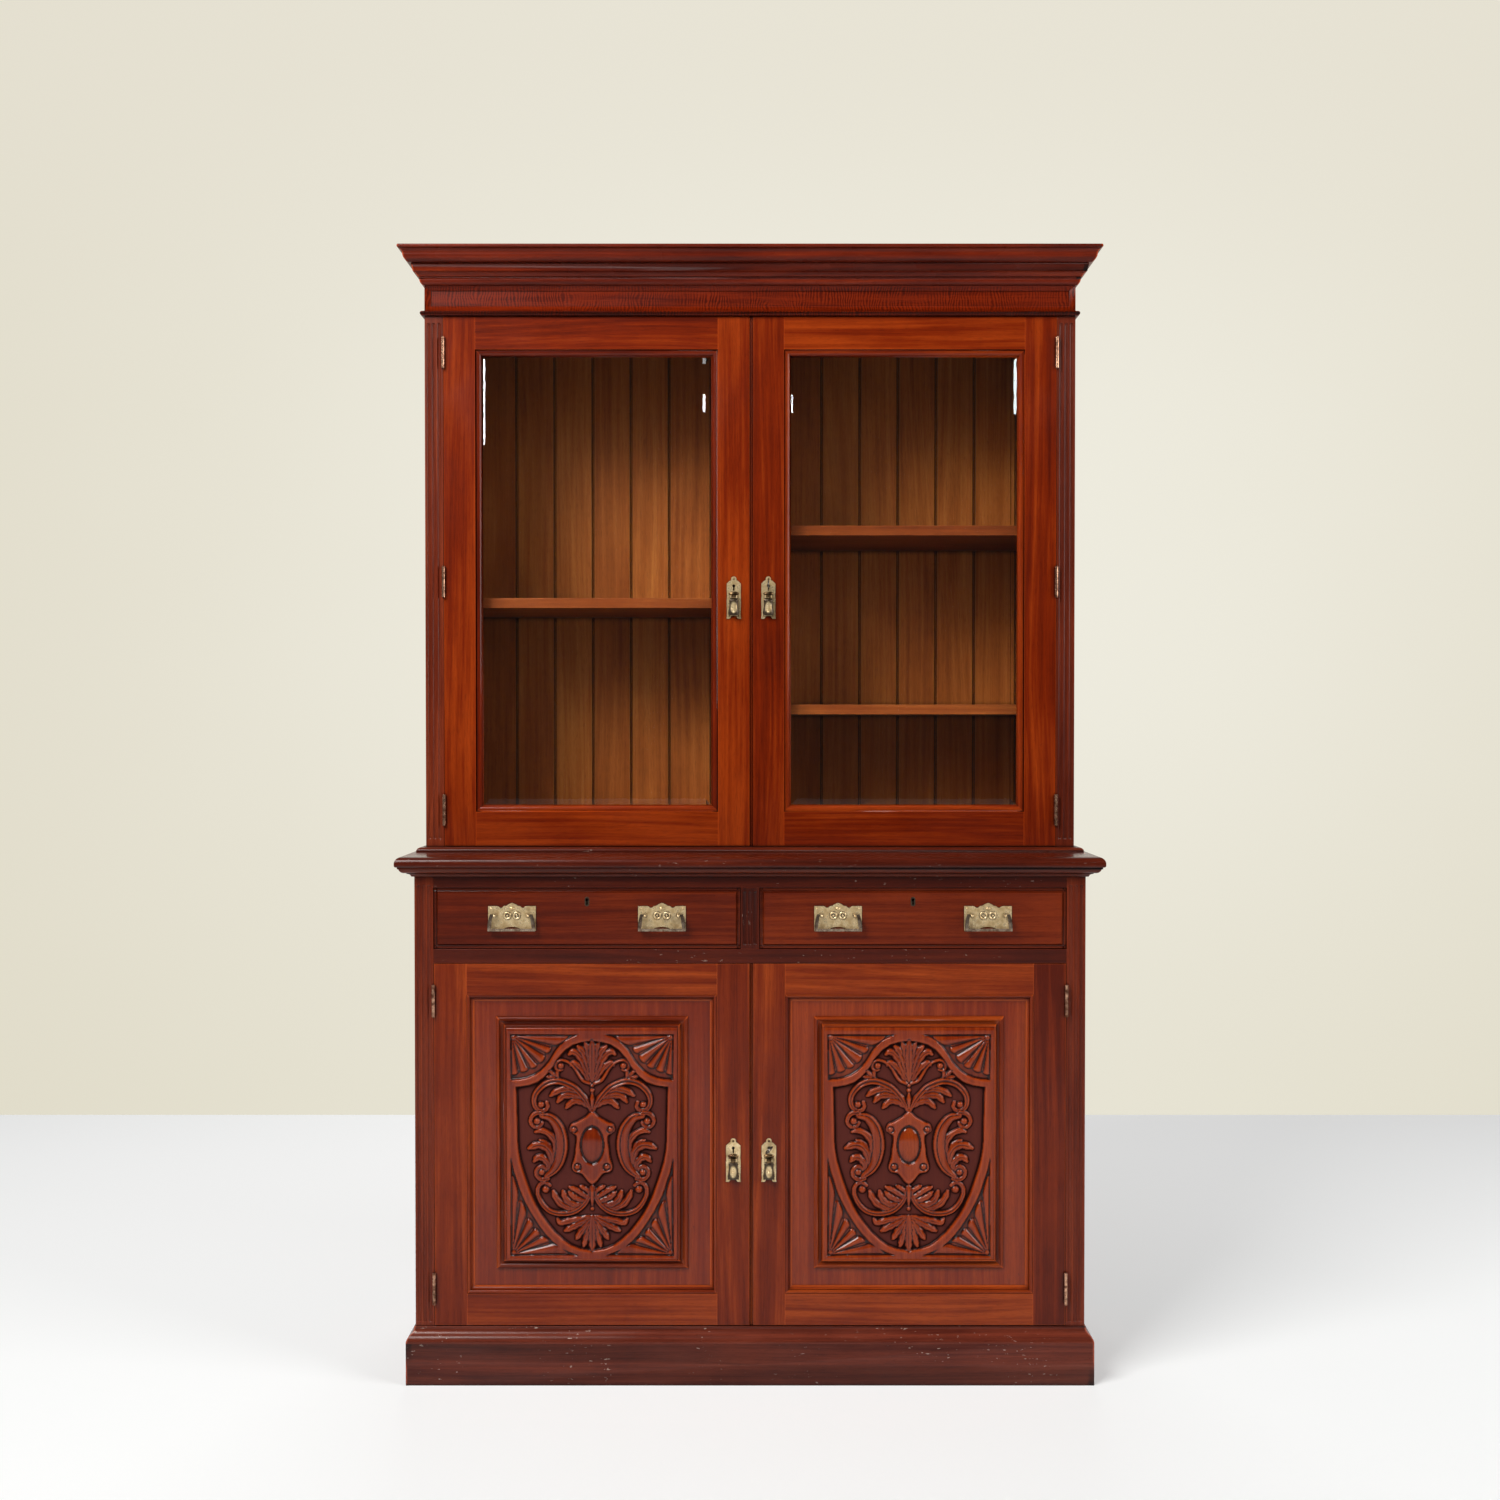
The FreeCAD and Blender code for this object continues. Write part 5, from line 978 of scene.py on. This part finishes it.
def make_carvings(material):
    low, high = front_face("lower_door_left_panel")
    half_wide, _, half_high = (high - low) / 2 / MM
    lift = CARVING_DROP / MM
    up = fine_lines(CARVING_UP, half_high)
    up = np.concatenate([up, -up[-2::-1]])
    up[[0, -1]] = lift - half_high, lift + half_high
    relief = Relief(fine_lines(CARVING_HALF, half_wide), np.sort(up))
    carve_design(relief)
    across, height = relief.whole()
    height = blurred(height, 1)
    for side in ("left", "right"):
        make_carved_panel(side, across, relief.up, height, material)


# ---- turned and cast brass

# half sections from the middle out, in millimetres: (radius, how far it stands out, how dark it is painted as
# shade)
NAIL = ((0, 1.3), (0.9, 1.1), (1.6, 0.6), (1.9, 0))
POST_END = ((0, 3.4), (1.6, 3.1), (2.6, 2.5, 0.4), (3.8, 0.6, 1), (3.8, -0.6, 1), (3, -2, 1),
            (2.4, -2.6, 1))
SPIRAL = ((0, 2), (1.6, 1.9), (2.4, 1.2, 1), (3, 0.3, 1), (4, 0.3, 1), (4.7, 1.3), (6.2, 1.9),
          (7.4, 1.5), (8, 0.7, 1), (8.7, 0.1, 1), (8.8, 0, 1))
HOOD = ((0, 3.6), (3, 3.5), (5.6, 2.8), (7.4, 1.8), (8.4, 0.8), (8.8, 0))
SCREW = ((0, 0.9), (1.2, 0.85), (2, 0.55), (2.4, 0))
BEAD_BALL = ((0, 3.4), (1, 3.2), (1.9, 2.4), (2.3, 1.2), (2, 0))
BOSS = ((0, 3), (1.6, 2.8), (3, 2), (3.9, 0.9), (4.2, 0))
# half section of a bell drop from its neck down: (radius, height above the pin)
BELL = ((0, -4.6), (6.4, -4.6), (8.8, -5.8), (9.6, -8), (9, -10), (8.8, -13), (9, -18), (9.7, -23),
        (10.4, -27.5), (11.2, -30.6), (11.4, -32.4), (10.7, -33.6), (11.2, -34.9), (10.8, -36.4), (8, -37.1),
        (0, -37.1))
BELL_OVAL = (6.4, 11.5, -21.5)  # its middle, left pale while the edges are painted dark as shade and dark reflection: half width, half height and height of its centre
BELL_OVAL_EDGE = (0.8, 0.3)
BELL_THICK = 0.44  # how thick it is for its width, and at least
BELL_LEAST = 2.7
BELL_FLUTES = 12
BELL_FLUTE_CUT = 0.07
BELL_SIDES = 48
BOSS_SIDES = 20
BELL_BACK = 6.7  # how far behind the pin its flat back lies, and how fast that falls off below it
BELL_BACK_LEAN = 0.074
PULL_HALF_WIDE = 46.75
PULL_HALF_HIGH = 24.25
POST_LONG = 12
SHEET_THICK = 1.5
DROP_EYE = 3.2
# what stands on half a drawer plate: section, place beside and above its middle, how far out
PULL_BOSSES = ((SPIRAL, 9.2, 5.6, 0), (POST_END, 32.6, 6.2, POST_LONG), (NAIL, 41.5, 19.5, 0),
               (NAIL, 41.5, -19.5, 0))
CROWN_BOSS = (19.5, 1.3, 0.8)  # its place above the middle, and its stretch
# what stands on a door plate: section, place beside and above its middle, stretch across and up, how far out
DOOR_PLATE_BOSSES = (
    (SCREW, 0, 37.6, 1, 1, 0), (HOOD, 0, 8, 1.2, 0.48, 0), (SCREW, -9.5, -37.4, 0.7, 0.7, 0),
    (SCREW, 9.5, -37.4, 0.7, 0.7, 0),
)
HOOD_BEADS = ((BEAD_BALL, 0, 10.4, 1, 1, 2), (BEAD_BALL, -7, 5.4, 1, 1, 0), (BEAD_BALL, 7, 5.4, 1, 1, 0))
# what stands on a bell: section, place above the pin, stretch, how far in front of the pin
BELL_BOSSES = {"upper": (NAIL, -31, 1.2, 4), "lower": (BOSS, -24, 1, 3)}


class Casting:
    """Gathers turned shapes, and how dark they are painted as shade and dark reflection, into one mesh;
    places are in millimetres.
    """

    tip = 0.01  # the least radius of a ring

    def __init__(self):
        self.points = []
        self.dulls_and_shades = []
        self.faces = []

    def turn(self, rings):
        """Skins rings of points, from one end of a shape to the other."""
        start = len(self.points)
        count = len(rings[0])
        for ring in rings:
            self.points += ring
        for row in range(len(rings) - 1):
            for step in range(count):
                after = (step + 1) % count
                low = start + row * count
                self.faces.append((low + step, low + after, low + count + after, low + count + step))

    def boss(self, section, x, face_y, z, wide=1, high=1):
        """A shape turned about an axis that points out of a front."""
        rings = []
        turns = [2 * math.pi * step / BOSS_SIDES for step in range(BOSS_SIDES)]
        for radius, out, *dull in section:
            self.dulls_and_shades += (dull or [0]) * BOSS_SIDES
            far = max(radius, self.tip)
            rings.append([(x + far * wide * math.cos(turn), face_y - out, z + far * high * math.sin(turn))
                          for turn in turns])
        self.turn(rings)

    def bell(self, x, y, z):
        """A fluted bell with a flat back that hangs below a pin and clears the plate when it swings in."""
        rings = []
        half_u, half_v, centre = BELL_OVAL
        rim, fade = BELL_OVAL_EDGE
        for radius, height in BELL:
            flute = BELL_FLUTE_CUT * min(1, max(0, (radius - 5) / 3))
            ring = []
            for step in range(BELL_SIDES):
                turn = 2 * math.pi * step / BELL_SIDES
                far = max(radius, self.tip) * (1 - flute * (0.5 - 0.5 * math.cos(BELL_FLUTES * turn)))
                thick = max(far * BELL_THICK, min(far, BELL_LEAST))
                back = min(thick * math.sin(turn), BELL_BACK + BELL_BACK_LEAN * height)
                ring.append((x + far * math.cos(turn), y + back, z + height))
                # the edges are painted dark as shade and dark reflection, the oval middle is left pale
                oval = math.hypot(far * math.cos(turn) / half_u, (height - centre) / half_v)
                self.dulls_and_shades.append(min(1, max(0, (oval - rim) / fade)))
            rings.append(ring)
        self.turn(rings)

    def piece(self, name, body, material):
        points = [tuple(value * MM for value in point) for point in self.points]
        made = new_piece(name, points, self.faces, material)
        store(made, "dull", self.dulls_and_shades, "POINT")
        mesh = made.data
        mesh.validate()
        work = bmesh.new()
        work.from_mesh(mesh)
        bmesh.ops.remove_doubles(work, verts=work.verts, dist=0.00002)
        bmesh.ops.recalc_face_normals(work, faces=work.faces)
        work.to_mesh(mesh)
        work.free()
        mesh.polygons.foreach_set("use_smooth", [True] * len(mesh.polygons))
        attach(made, body)


def box_mm(node_name):
    """A node's lowest and highest corner, and its middle."""
    low, high = np.array(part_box(node_name)) / MM
    return low, high, (low + high) / 2


def dress_pulls(side, materials):
    """Nails, twin spirals and ball ends on the two back plates of a drawer."""
    low, high, _ = box_mm(f"drawer_{side}_pull_plates")
    face_y = low[1] + POST_LONG
    centre_z = low[2] + PULL_HALF_HIGH
    up, wide, tall = CROWN_BOSS
    casting = Casting()
    for end in (low[0] + PULL_HALF_WIDE, high[0] - PULL_HALF_WIDE):
        for way in (-1, 1):
            for section, aside, above, out in PULL_BOSSES:
                casting.boss(section, end + aside * way, face_y - out, centre_z + above)
        casting.boss(BOSS, end, face_y, centre_z + up, wide, tall)
    casting.piece(f"drawer_{side}_pull_ornament", f"drawer_{side}", materials["old_brass"])


def dress_door_plate(storey, side, materials):
    """Screws and a cast hood on a door's plate, and the bell over its drop's blade."""
    door = f"{storey}_door_{side}"
    _, high, (centre_x, _, centre_z) = box_mm(f"{door}_plate")
    face_y = high[1] - SHEET_THICK
    bosses = DOOR_PLATE_BOSSES + (HOOD_BEADS if storey == "lower" else ())
    plate = Casting()
    for section, aside, above, wide, tall, out in bosses:
        plate.boss(section, centre_x + aside, face_y - out, centre_z + above, wide, tall)
    plate.piece(f"{door}_plate_ornament", door, materials["cast_brass"])
    _, high, (pin_x, pin_y, _) = box_mm(f"{door}_drop_pull")
    pin_z = high[2] - DROP_EYE
    section, above, stretch, out = BELL_BOSSES[storey]
    drop = Casting()
    drop.bell(pin_x, pin_y, pin_z)
    drop.boss(section, pin_x, pin_y - out, pin_z + above, stretch, stretch)
    drop.piece(f"{door}_bell", f"{door}_drop_pull", materials["old_brass"])


def dress_brass(materials):
    for side in ("left", "right"):
        dress_pulls(side, materials)
        for storey in ("upper", "lower"):
            dress_door_plate(storey, side, materials)


# ---- the scene

SCENE.view_settings.view_transform = "Standard"
make_camera()
make_stage()
make_light()
MATERIALS = make_materials()
finish_nodes(MATERIALS)
make_carvings(MATERIALS["mahogany_carving"])
dress_brass(MATERIALS)
